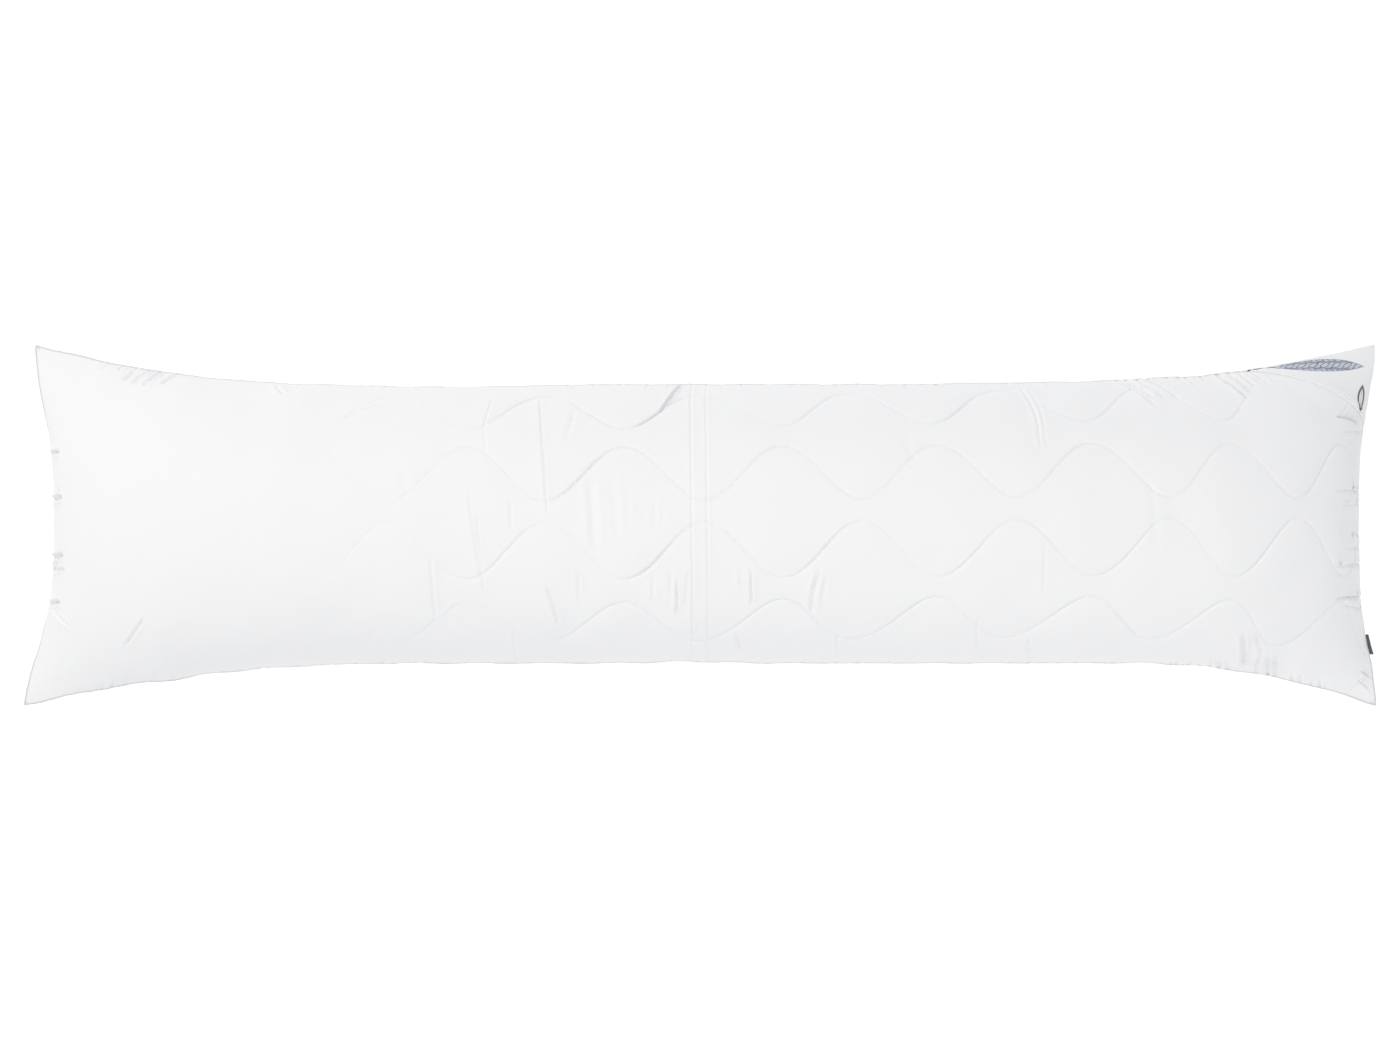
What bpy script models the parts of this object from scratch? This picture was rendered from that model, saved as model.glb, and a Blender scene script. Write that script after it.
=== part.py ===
"""A long body pillow: a quilted, filled casing with drawn-in sides, a corner patch and a side label.

It lies on its back on the plane z = 0, in metres, with +X along its length and +Z up through its
face. The origin is under the middle of the whole pillow. Each panel of the casing is first a flat
grid in the coordinates of the cut cloth, u along the pillow and v across it. The rows of that grid
follow the sewn lines, so each line is an edge loop. The grid is then moved to the filled shape.
"""

import bmesh
import bpy
import numpy as np

# The seam line seen from above: the four corners and the drawn-in middles
CORNERS = {"left": {"top": -0.6990, "bottom": -0.7110}, "right": {"top": 0.7100, "bottom": 0.7110}}
MIDDLE_LEFT = -0.6752
MIDDLE_RIGHT = 0.6876
# The powers of the curve that an end seam takes from its middle out to the corners
END_CURVE = (2.5, 1.7)
SIDE_TOP = 0.1467
SIDE_BOTTOM = -0.1437
# How the long seams swing out to the corners: (side, end, depth, reach along the seam, power)
SEAM_SWINGS = (
    ("top", "left", 0.0436, 0.340, 2.2),
    ("top", "right", 0.0356, 0.190, 1.15),
    ("top", "right", 0.0080, 0.500, 1.0),
    ("bottom", "left", 0.0463, 0.420, 2.2),
    ("bottom", "right", 0.0463, 0.262, 2.0),
)

# The filled shape
PANEL_HALF_WIDTH = 0.200
CROWN = 0.104
BACK_DEPTH = 0.122
SEAM_HEIGHT = 0.096
PRESS_RADIUS = 0.012
ARC_ANGLE = 1.36
END_ARC_ANGLE = 0.45
# How full each end is: (end, reach from the end seam, power of the rounding)
END_FULLNESS = (("left", 0.280, 2.0), ("right", 0.205, 2.3))
END_DROP = 0.018
CORNER_DROP = 0.012

# Quilting: four whole sewn lines and one that runs in and out of the lower seam
WAVE_LENGTH = 0.156
WAVE_HEIGHT = 0.0292
LINE_PITCH = 0.0846
FIRST_LINE = 0.1425
LINE_COUNT = 5
# The waves close up towards the right end, by this much at the reach past the start
CLOSING_START = 0.400
CLOSING_REACH = 0.270
CLOSING = 0.034
GROOVE_DEPTH = 0.0036
GROOVE_SPREAD = 0.013
SHOULDER = 0.009
LOWEST_LINE = -0.188
SEAM_FADE = 0.012

# Mesh of a panel
COLUMN = 0.0152
CREASE_COLUMN = -0.0080
ROWS = 24

# Packing creases across the face: (flat length u, lean of the crease, low end v, high end v, depth)
CREASES = (
    (-0.0080, 0.00, -0.190, 0.190, 0.0016),
    (0.0072, 0.00, -0.190, 0.190, 0.0012),
    (-0.1600, -0.06, 0.020, 0.165, 0.0012),
    (-0.2360, 0.10, -0.085, 0.165, 0.0012),
    (0.3560, 0.05, -0.140, 0.165, 0.0010),
)
CREASE_WIDTH = 0.007
# Gathers where a long seam is drawn in: (side, flat length u, half length, wave length, height)
GATHERS = (
    ("top", -0.585, 0.060, 0.046, 0.0022),
    ("top", 0.470, 0.050, 0.046, 0.0020),
    ("top", 0.580, 0.045, 0.048, 0.0016),
    ("bottom", -0.560, 0.070, 0.052, 0.0016),
    ("bottom", 0.600, 0.060, 0.046, 0.0026),
)
GATHER_REACH = 0.035

# Corner patch on the upper right corner of the face
PATCH_ALONG = 0.147
PATCH_DOWN = 0.094
PATCH_THICKNESS = 0.0014
PATCH_INSET = 0.0020
CLOTH_GAP = 0.0004

# Side label: a folded loop of woven tape in the right end seam
LABEL_WIDTH = 0.022
LABEL_LENGTH = 0.009
LABEL_THICKNESS = 0.0016
LABEL_FLAT_V = -0.129
LABEL_DROOP = 2.0
LABEL_GAP = 0.0004

WHITE_MICROFIBRE = (0.86, 0.87, 0.885, 1.0)
WHITE_PERCALE = (0.88, 0.885, 0.90, 1.0)
DARK_TAPE = (0.075, 0.078, 0.085, 1.0)


def clear_scene():
    """Remove every object that the file opened with."""
    for thing in list(bpy.data.objects):
        bpy.data.objects.remove(thing, do_unlink=True)


def cloth_material(name, colour, roughness):
    """A plain matt cloth."""
    material = bpy.data.materials.new(name)
    material.use_nodes = True
    shader = material.node_tree.nodes["Principled BSDF"]
    shader.inputs["Base Color"].default_value = colour
    shader.inputs["Roughness"].default_value = roughness
    shader.inputs["Metallic"].default_value = 0.0
    material.diffuse_color = colour
    return material


def smooth_step(value):
    """0 below 0, 1 above 1 and a soft rise between them."""
    value = np.clip(value, 0.0, 1.0)
    return value * value * (3.0 - 2.0 * value)


def fullness(x):
    """How full the pillow is at x along its middle: 0 on an end seam, 1 past both reaches."""
    full = np.ones_like(x)
    for end, reach, power in END_FULLNESS:
        distance = x - MIDDLE_LEFT if end == "left" else MIDDLE_RIGHT - x
        left_over = np.clip(1.0 - distance / reach, 0.0, 1.0)
        full = full * (1.0 - left_over**power) ** (1.0 / power)
    return full


def middle_line():
    """Flat lengths along the crown, measured on the cloth from x = 0, and the x of each."""
    turn = np.linspace(0.0, np.pi, 6001)
    x = MIDDLE_LEFT + (MIDDLE_RIGHT - MIDDLE_LEFT) * (1.0 - np.cos(turn)) / 2.0
    steps = np.hypot(np.diff(x), CROWN * np.diff(fullness(x)))
    along = np.concatenate([[0.0], np.cumsum(steps)])
    return along - np.interp(0.0, x, along), x


FLAT_LENGTHS, MIDDLE_X = middle_line()
FLAT_LEFT, FLAT_RIGHT = FLAT_LENGTHS[0], FLAT_LENGTHS[-1]


def seam_x(u, across):
    """The x that the long seams have at flat length u, for across from -1, low, to 1, high."""
    share = (u - FLAT_LEFT) / (FLAT_RIGHT - FLAT_LEFT)
    top = CORNERS["left"]["top"] + share * (CORNERS["right"]["top"] - CORNERS["left"]["top"])
    low = CORNERS["left"]["bottom"] + share * (
        CORNERS["right"]["bottom"] - CORNERS["left"]["bottom"]
    )
    return (top + low) / 2.0 + across * (top - low) / 2.0


def seam_y(side, u):
    """The y of the upper or lower long seam at flat length u."""
    y = np.full_like(u, SIDE_TOP if side == "top" else SIDE_BOTTOM)
    outward = 1.0 if side == "top" else -1.0
    x = seam_x(u, outward)
    for swing_side, end, depth, reach, power in SEAM_SWINGS:
        if swing_side == side:
            distance = np.abs(CORNERS[end][side] - x)
            y = y + outward * depth * np.clip(1.0 - distance / reach, 0.0, 1.0) ** power
    return y


def end_share(u):
    """0 at the middle of the length and 1 on either end seam."""
    return np.where(u < 0.0, u / FLAT_LEFT, u / FLAT_RIGHT)


def gather_lift(u, v):
    """How far the gathers of the long seams lift or lower the cloth."""
    lift = np.zeros_like(u)
    for side, middle, half_length, wave, height in GATHERS:
        seam = PANEL_HALF_WIDTH if side == "top" else -PANEL_HALF_WIDTH
        fade = np.exp(-(((u - middle) / half_length) ** 2) - np.abs(seam - v) / GATHER_REACH)
        lift += height * fade * np.cos(2.0 * np.pi * (u - middle) / wave)
    return lift


def end_curve(across):
    """How far an end seam has swung out from its middle, 0, to a corner, 1."""
    start, finish = END_CURVE
    return 1.0 - (1.0 - np.abs(across) ** start) ** finish


def filled_place(u, v, face):
    """The smooth filled shape: the place of flat point (u, v) on the front (1) or back (-1)."""
    across = v / PANEL_HALF_WIDTH
    middle_x = np.interp(u, FLAT_LENGTHS, MIDDLE_X)
    full = fullness(middle_x)
    angle = END_ARC_ANGLE + (ARC_ANGLE - END_ARC_ANGLE) * full
    top, low = seam_y("top", u), seam_y("bottom", u)
    x = middle_x + (seam_x(u, across) - middle_x) * end_curve(across)
    y =(top + low) / 2.0 + (top - low) / 2.0 * np.sin(angle * across) / np.sin(angle)
    arch = (np.cos(angle * across) - np.cos(angle)) / (1.0 - np.cos(angle))
    end = np.abs(end_share(u))
    seam = SEAM_HEIGHT - END_DROP * end**3 - CORNER_DROP * end**6 * across**4
    height = CROWN if face > 0 else -BACK_DEPTH
    z = seam + height * full * arch + gather_lift(u, v)
    return np.stack([x, y, pressed(z)], axis=-1)


def pressed(z):
    """Height with the underside pressed flat at 0, rounded where it leaves the surface."""
    blend = np.clip(PRESS_RADIUS - np.abs(z), 0.0, None) / PRESS_RADIUS
    return np.maximum(z, 0.0) + blend * blend * PRESS_RADIUS / 4.0


def wave_phase(u):
    """The angle that the waves of the sewn lines have reached at flat length u."""
    closing = CLOSING * (np.clip(u - CLOSING_START, 0.0, None) / CLOSING_REACH) ** 1.5
    return 2.0 * np.pi * (u + closing) / WAVE_LENGTH


def sewn_line(index, u):
    """The v of a sewn line at flat length u. Neighbouring lines are in opposite phase."""
    swing = WAVE_HEIGHT if index % 2 == 0 else -WAVE_HEIGHT
    return FIRST_LINE - index * LINE_PITCH + swing * np.cos(wave_phase(u))


def groove(u, v):
    """How deep the quilting draws the cloth in at (u, v), before any fading."""
    slope = WAVE_HEIGHT * 2.0 * np.pi / WAVE_LENGTH * np.sin(wave_phase(u))
    nearest = np.min([np.abs(v - sewn_line(k, u)) for k in range(LINE_COUNT)], axis=0)
    return GROOVE_DEPTH * np.exp(-nearest / np.hypot(1.0, slope) / GROOVE_SPREAD)


def crease(u, v):
    """How deep the packing creases lie at (u, v)."""
    depth = np.zeros_like(u)
    for start, lean, low, high, deep in CREASES:
        middle = start + lean * v
        ends = smooth_step((v - low) / 0.03) * smooth_step((high - v) / 0.03)
        depth += deep * ends * np.exp(-(((u - middle) / CREASE_WIDTH) ** 2))
    return depth


def patch_side(u, v):
    """Above 0 on the corner's side of the patch's diagonal edge, as a share of the patch."""
    return 1.0 - (FLAT_RIGHT - u) / PATCH_ALONG - (PANEL_HALF_WIDTH - v) / PATCH_DOWN


def quilted_place(u, v, face):
    """The filled shape with the quilting and the creases drawn in along its normal."""
    step = 0.0005
    near_u = np.clip(u, FLAT_LEFT + step, FLAT_RIGHT - step)
    near_v = np.clip(v, -PANEL_HALF_WIDTH + step, PANEL_HALF_WIDTH - step)
    along = filled_place(near_u + step, near_v, face) - filled_place(near_u - step, near_v, face)
    over = filled_place(near_u, near_v + step, face) - filled_place(near_u, near_v - step, face)
    normal = np.cross(along, over) * face
    normal /= np.linalg.norm(normal, axis=-1, keepdims=True)
    place = filled_place(u, v, face)
    to_seam = np.minimum(
        np.minimum(u - FLAT_LEFT, FLAT_RIGHT - u), PANEL_HALF_WIDTH - np.abs(v)
    )
    depth = groove(u, v)
    if face > 0:
        depth = (depth + crease(u, v)) * smooth_step(-patch_side(u, v) * 8.0)
    else:
        depth = depth * smooth_step(place[..., 2] / 0.02)
    return place - normal * (depth * smooth_step(to_seam / SEAM_FADE))[..., None]


def flat_columns():
    """Flat lengths of the mesh's columns, with one on each line of the middle crease."""
    before = np.arange(CREASE_COLUMN, FLAT_LEFT + COLUMN / 2.0, -COLUMN)[::-1]
    after = np.arange(CREASE_COLUMN + COLUMN, FLAT_RIGHT - COLUMN / 2.0, COLUMN)
    return np.concatenate([[FLAT_LEFT], before, after, [FLAT_RIGHT]])


def row_heights(u):
    """The v of each row at flat length u: the sewn lines, their shoulders and rows between."""
    rows = [np.full_like(u, PANEL_HALF_WIDTH)]
    for index in range(LINE_COUNT):
        last = index == LINE_COUNT - 1
        line = np.maximum(sewn_line(index, u), LOWEST_LINE)
        above, upper = rows[-1], line + SHOULDER
        shares = (0.5,) if index == 0 or last else (1.0 / 3.0, 2.0 / 3.0)
        rows += [above + (upper - above) * share for share in shares]
        rows += [upper, line] if last else [upper, line, line - SHOULDER]
    rows += [(rows[-1] - PANEL_HALF_WIDTH) / 2.0, np.full_like(u, -PANEL_HALF_WIDTH)]
    return np.array(rows)


def split_corners(panel):
    """Cut each corner cell from its corner inwards, so that the two panels share no cut there."""
    for corner in [vert for vert in panel.verts if len(vert.link_edges) == 2]:
        beside = [edge.other_vert(corner) for edge in corner.link_edges]
        cell = corner.link_faces[0]
        opposite = next(v for v in cell.verts if v != corner and v not in beside)
        bmesh.ops.connect_vert_pair(panel, verts=[corner, opposite])


def flat_panel(face):
    """A flat grid in cloth coordinates whose vertices carry their place on the filled shape."""
    columns = flat_columns()
    rows = row_heights(columns)
    assert len(rows) == ROWS + 1
    panel = bmesh.new()
    bmesh.ops.create_grid(panel, x_segments=len(columns) - 1, y_segments=ROWS, size=1.0)
    filled = panel.verts.layers.float_vector.new("filled")
    where = np.array([vert.co[:2] for vert in panel.verts])
    column = np.rint((where[:, 0] + 1.0) / 2.0 * (len(columns) - 1)).astype(int)
    row = np.rint((1.0 - where[:, 1]) / 2.0 * ROWS).astype(int)
    u, v = columns[column], rows[row, column]
    for vert, flat_u, flat_v, place in zip(panel.verts, u, v, quilted_place(u, v, face)):
        vert.co = (flat_u, flat_v, 0.0)
        vert[filled] = place
    split_corners(panel)
    bmesh.ops.triangulate(panel, faces=panel.faces[:])
    return panel


def fill(panel):
    """Move each vertex of a flat panel to the place that it carries."""
    filled = panel.verts.layers.float_vector["filled"]
    for vert in panel.verts:
        vert.co = vert[filled]


def finished(name, shape, material, collection, smooth=True):
    """An object of a closed bmesh, in its collection."""
    bmesh.ops.recalc_face_normals(shape, faces=shape.faces[:])
    mesh = bpy.data.meshes.new(name)
    shape.to_mesh(mesh)
    shape.free()
    thing = bpy.data.objects.new(name, mesh)
    mesh.materials.append(material)
    if smooth:
        mesh.shade_smooth()
        mesh.set_sharp_from_angle(angle=0.9)
    collection.objects.link(thing)
    return thing


def add_casing(collection):
    """The filled casing: a front and a back panel that meet at one knife-edge seam."""
    casing = bmesh.new()
    for face in (1, -1):
        panel = flat_panel(face)
        fill(panel)
        side = bpy.data.meshes.new("panel")
        panel.to_mesh(side)
        panel.free()
        casing.from_mesh(side)
        bpy.data.meshes.remove(side)
    bmesh.ops.remove_doubles(casing, verts=casing.verts[:], dist=1e-5)
    material = cloth_material("white_microfibre", WHITE_MICROFIBRE, 0.85)
    return finished("casing", casing, material, collection)


def add_patch(collection):
    """The plain corner patch: the casing's own facets there, cut on a diagonal and thickened."""
    patch = flat_panel(1)
    edge_u, edge_v = FLAT_RIGHT - PATCH_INSET, PANEL_HALF_WIDTH - PATCH_INSET
    cuts = (
        ((FLAT_RIGHT - PATCH_ALONG, PANEL_HALF_WIDTH, 0.0), (PATCH_DOWN, PATCH_ALONG, 0.0)),
        ((edge_u, 0.0, 0.0), (-1.0, 0.0, 0.0)),
        ((0.0, edge_v, 0.0), (0.0, -1.0, 0.0)),
    )
    for point, inward in cuts:
        everything = patch.verts[:] + patch.edges[:] + patch.faces[:]
        bmesh.ops.bisect_plane(
            patch, geom=everything, plane_co=point, plane_no=inward, clear_inner=True
        )
    fill(patch)
    bmesh.ops.remove_doubles(patch, verts=patch.verts[:], dist=5e-4)
    bmesh.ops.recalc_face_normals(patch, faces=patch.faces[:])
    if sum(face.normal.z * face.calc_area() for face in patch.faces) < 0.0:
        bmesh.ops.reverse_faces(patch, faces=patch.faces[:])
    patch.normal_update()
    raised = {vert: vert.co + vert.normal * CLOTH_GAP for vert in patch.verts}
    for vert, place in raised.items():
        vert.co = place
    patch.normal_update()
    bmesh.ops.solidify(patch, geom=patch.faces[:], thickness=-PATCH_THICKNESS)
    material = cloth_material("white_percale", WHITE_PERCALE, 0.75)
    return finished("corner_patch", patch, material, collection)


def add_label(collection):
    """The folded label: a strip with a round fold that droops from the right end seam."""
    label = bmesh.new()
    bmesh.ops.create_cube(label, size=1.0)
    bmesh.ops.scale(
        label, vec=(LABEL_LENGTH, LABEL_WIDTH, LABEL_THICKNESS), verts=label.verts[:]
    )
    long_edges = [e for e in label.edges if abs(e.verts[0].co.x - e.verts[1].co.x) > 1e-4]
    bmesh.ops.subdivide_edges(label, edges=long_edges, cuts=5, use_grid_fill=True)
    fold = [
        e
        for e in label.edges
        if min(vert.co.x for vert in e.verts) > LABEL_LENGTH / 2.0 - 1e-5
        and abs(e.verts[0].co.y - e.verts[1].co.y) > 1e-4
    ]
    bmesh.ops.bevel(
        label,
        geom=fold,
        offset=LABEL_THICKNESS * 0.48,
        affect="EDGES",
        segments=2,
        profile=0.5,
        material=-1,
    )
    reach = LABEL_LENGTH / LABEL_DROOP
    for vert in label.verts:
        flat_v = LABEL_FLAT_V + vert.co.y
        root = filled_place(np.array([FLAT_RIGHT]), np.array([flat_v]), 1)[0]
        turn = LABEL_DROOP * (vert.co.x / LABEL_LENGTH + 0.5)
        out = LABEL_GAP + (reach + vert.co.z) * np.sin(turn)
        down = reach * (1.0 - np.cos(turn)) - vert.co.z * np.cos(turn)
        vert.co = (root[0] + out, root[1], root[2] - down)
    material = cloth_material("dark_tape", DARK_TAPE, 0.7)
    return finished("side_label", label, material, collection)


def main():
    """Build the pillow."""
    clear_scene()
    collection = bpy.data.collections.new("body_pillow")
    bpy.context.scene.collection.children.link(collection)
    add_casing(collection)
    add_patch(collection)
    add_label(collection)


main()
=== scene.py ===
"""Looks of a long body pillow: quilted casing, its sewing, a printed corner patch and a side label.

Everything is in metres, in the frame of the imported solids: +X along the pillow, +Y across it and
+Z up through its face. The casing is laid out as cut cloth, with u along the pillow and v across
it. It takes its filled form, the give of its cloth, its quilting and its creases from there.
"""

import logging
import math
from collections.abc import Iterable
from dataclasses import dataclass, field
from enum import Enum
from typing import Any

import bmesh
import bpy
import numpy as np
from mathutils import Matrix, Vector


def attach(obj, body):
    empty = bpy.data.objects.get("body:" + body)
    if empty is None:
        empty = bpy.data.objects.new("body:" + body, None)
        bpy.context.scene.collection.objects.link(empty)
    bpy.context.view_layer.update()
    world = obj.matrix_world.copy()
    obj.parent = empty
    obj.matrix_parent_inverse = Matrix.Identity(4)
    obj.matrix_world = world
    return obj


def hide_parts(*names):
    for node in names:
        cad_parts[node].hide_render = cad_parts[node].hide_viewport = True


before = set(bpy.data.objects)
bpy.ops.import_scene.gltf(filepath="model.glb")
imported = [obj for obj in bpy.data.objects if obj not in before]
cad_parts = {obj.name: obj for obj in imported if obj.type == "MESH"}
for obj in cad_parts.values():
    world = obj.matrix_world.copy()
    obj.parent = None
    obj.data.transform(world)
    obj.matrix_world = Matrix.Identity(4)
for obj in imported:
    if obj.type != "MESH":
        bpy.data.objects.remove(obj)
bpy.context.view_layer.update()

LOG = logging.getLogger("body_pillow")
BODY = "root"
FULL_TURN = 2.0 * math.pi
SHARP_ANGLE = 0.9
MM = 0.001


class Side(Enum):
    """The two long seams."""

    TOP = 1.0
    BOTTOM = -1.0


class End(Enum):
    """The two end seams."""

    LEFT = -1.0
    RIGHT = 1.0


class Face(Enum):
    """The two panels of the casing."""

    FRONT = 1.0
    BACK = -1.0


def smooth_step(value: np.ndarray) -> np.ndarray:
    """0 below 0, 1 above 1 and a soft rise between them."""
    value = np.clip(value, 0.0, 1.0)
    return value * value * (3.0 - 2.0 * value)


def round_rise(value: np.ndarray) -> np.ndarray:
    """0 at 0 and 1 from 1 on, along a quarter of a circle."""
    return np.sqrt(1.0 - (1.0 - np.clip(value, 0.0, 1.0)) ** 2)


def unit(vectors: np.ndarray) -> np.ndarray:
    """The same directions at length 1."""
    return vectors / np.linalg.norm(vectors, axis=-1, keepdims=True)


def running_length(*steps: np.ndarray) -> np.ndarray:
    """The length of a path up to each of its points, from the parts of its steps."""
    return np.concatenate([[0.0], np.cumsum(np.hypot(*steps))])


def placed(name: str, data: bpy.types.ID) -> bpy.types.Object:
    """A new object in the scene."""
    thing = bpy.data.objects.new(name, data)
    bpy.context.scene.collection.objects.link(thing)
    return thing


def mesh_of(name: str, shape: bmesh.types.BMesh) -> bpy.types.Mesh:
    """A mesh of a shape, which is freed."""
    mesh = bpy.data.meshes.new(name)
    shape.to_mesh(mesh)
    shape.free()
    return mesh


def joined(meshes: Iterable[bpy.types.Mesh]) -> bmesh.types.BMesh:
    """One shape of several meshes, which are removed."""
    whole = bmesh.new()
    for mesh in meshes:
        whole.from_mesh(mesh)
        bpy.data.meshes.remove(mesh)
    return whole


def grid_shape(columns: int, rows: int) -> bmesh.types.BMesh:
    """A square grid from -1 to 1 both ways."""
    shape = bmesh.new()
    bmesh.ops.create_grid(shape, x_segments=columns, y_segments=rows, size=1.0)
    return shape


def grid_shares(grid: bmesh.types.BMesh) -> np.ndarray:
    """How far along and how far up a grid each vertex is, from 0 to 1."""
    return (np.array([vert.co[:2] for vert in grid.verts]) + 1.0) / 2.0


def vertex_places(mesh: bpy.types.Mesh) -> np.ndarray:
    """The places of a mesh's vertices, one a row."""
    places = np.zeros(len(mesh.vertices) * 3)
    mesh.vertices.foreach_get("co", places)
    return places.reshape(-1, 3)


def lay_out(mesh: bpy.types.Mesh, places: np.ndarray, u: np.ndarray, v: np.ndarray) -> None:
    """Move a mesh to its places, and keep its flat cloth as its UV map.

    Args:
        mesh: The mesh.
        places: The place of each vertex.
        u: Its flat length along the cloth.
        v: Its flat length across it.
    """
    mesh.vertices.foreach_set("co", places.ravel())
    corners = np.zeros(len(mesh.loops), int)
    mesh.loops.foreach_get("vertex_index", corners)
    layer = mesh.uv_layers.new(name="cloth")
    layer.data.foreach_set("uv", np.stack([u, v], axis=1)[corners].ravel())


@dataclass(frozen=True)
class Swing:
    """How a long seam swings out to a corner, over its reach and by a power."""

    side: Side
    end: End
    depth: float
    reach: float
    power: float


@dataclass(frozen=True)
class Gather:
    """Soft waves where a long seam is drawn in."""

    side: Side
    middle: float
    half_length: float
    wave: float
    height: float


@dataclass(frozen=True)
class EndFilling:
    """How the filling thins towards an end seam."""

    end: End
    reach: float
    power: float


@dataclass
class PillowForm:
    """The smooth filled form of the pillow, with drawn-in sides and a pressed underside."""

    left_top: float = -0.6990
    left_bottom: float = -0.7110
    right_top: float = 0.7100
    right_bottom: float = 0.7110
    middle_left: float = -0.6752
    middle_right: float = 0.6876
    end_powers: tuple[float, float] = (2.5, 1.7)
    side_top: float = 0.1467
    side_bottom: float = -0.1437
    half_width: float = 0.200
    crown: float = 0.104
    back_depth: float = 0.122
    seam_height: float = 0.096
    press_radius: float = 0.012
    arc_angle: float = 1.36
    end_arc_angle: float = 0.45
    end_drop: float = 0.018
    corner_drop: float = 0.012
    gather_reach: float = 0.035
    swings: tuple[Swing, ...] = (
        Swing(Side.TOP, End.LEFT, 0.0436, 0.340, 2.2),
        Swing(Side.TOP, End.RIGHT, 0.0356, 0.190, 1.15),
        Swing(Side.TOP, End.RIGHT, 0.0080, 0.500, 1.0),
        Swing(Side.BOTTOM, End.LEFT, 0.0463, 0.420, 2.2),
        Swing(Side.BOTTOM, End.RIGHT, 0.0463, 0.262, 2.0),
    )
    fillings: tuple[EndFilling, ...] = (
        EndFilling(End.LEFT, 0.280, 2.0),
        EndFilling(End.RIGHT, 0.205, 2.3),
    )
    gathers: tuple[Gather, ...] = (
        Gather(Side.TOP, -0.585, 0.060, 0.046, 0.0022),
        Gather(Side.TOP, 0.470, 0.050, 0.046, 0.0020),
        Gather(Side.TOP, 0.580, 0.045, 0.048, 0.0016),
        Gather(Side.BOTTOM, -0.560, 0.070, 0.052, 0.0016),
        Gather(Side.BOTTOM, 0.600, 0.060, 0.046, 0.0026),
    )

    def __post_init__(self) -> None:
        """Measure the cloth along the crown, from one end seam to the other."""
        turn = np.linspace(0.0, np.pi, 6001)
        span = self.middle_right - self.middle_left
        self.middle_x = self.middle_left + span * (1.0 - np.cos(turn)) / 2.0
        rises = self.crown * np.diff(self.fullness(self.middle_x))
        along = running_length(np.diff(self.middle_x), rises)
        self.flat_lengths = along - np.interp(0.0, self.middle_x, along)
        self.flat_left = float(self.flat_lengths[0])
        self.flat_right = float(self.flat_lengths[-1])

    def fullness(self, x: np.ndarray) -> np.ndarray:
        """How full the pillow is along its middle.

        Args:
            x: Places along the middle line.

        Returns:
            0 on an end seam, rising to 1 past the reach of both ends.
        """
        full = np.ones_like(x)
        for filling in self.fillings:
            distance = x - self.middle_left if filling.end is End.LEFT else self.middle_right - x
            left_over = np.clip(1.0 - distance / filling.reach, 0.0, 1.0)
            full = full * (1.0 - left_over**filling.power) ** (1.0 / filling.power)
        return full

    def seam_x(self, u: np.ndarray, across: np.ndarray | float) -> np.ndarray:
        """The x that the long seams have at flat length u, from across -1, low, to 1, high."""
        share = (u - self.flat_left) / (self.flat_right - self.flat_left)
        top = self.left_top + share * (self.right_top - self.left_top)
        low = self.left_bottom + share * (self.right_bottom - self.left_bottom)
        return (top + low) / 2.0 + across * (top - low) / 2.0

    def seam_y(self, side: Side, u: np.ndarray) -> np.ndarray:
        """The y of a long seam.

        Args:
            side: Which long seam.
            u: Flat lengths.

        Returns:
            The y of the seam at each flat length.
        """
        y = np.full_like(u, self.side_top if side is Side.TOP else self.side_bottom)
        x = self.seam_x(u, side.value)
        corners = {
            (Side.TOP, End.LEFT): self.left_top,
            (Side.TOP, End.RIGHT): self.right_top,
            (Side.BOTTOM, End.LEFT): self.left_bottom,
            (Side.BOTTOM, End.RIGHT): self.right_bottom,
        }
        for swing in self.swings:
            if swing.side is side:
                distance = np.abs(corners[side, swing.end] - x)
                near = np.clip(1.0 - distance / swing.reach, 0.0, 1.0)
                y = y + side.value * swing.depth * near**swing.power
        return y

    def gather_lift(self, u: np.ndarray, v: np.ndarray) -> np.ndarray:
        """How far the gathers of the long seams lift or lower the cloth at (u, v)."""
        lift = np.zeros_like(u)
        for gather in self.gathers:
            to_seam = np.abs(gather.side.value * self.half_width - v)
            along = (u - gather.middle) / gather.half_length
            fade = np.exp(-(along**2) - to_seam / self.gather_reach)
            lift += gather.height * fade * np.cos(FULL_TURN * (u - gather.middle) / gather.wave)
        return lift

    def pressed(self, z: np.ndarray) -> np.ndarray:
        """Heights with the underside pressed flat at 0, rounded where it leaves the surface."""
        blend = np.clip(self.press_radius - np.abs(z), 0.0, None) / self.press_radius
        return np.maximum(z, 0.0) + blend * blend * self.press_radius / 4.0

    def end_curve(self, across: np.ndarray) -> np.ndarray:
        """How far an end seam has swung out from its middle, 0, to a corner, 1."""
        start, finish = self.end_powers
        return 1.0 - (1.0 - np.abs(across) ** start) ** finish

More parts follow.
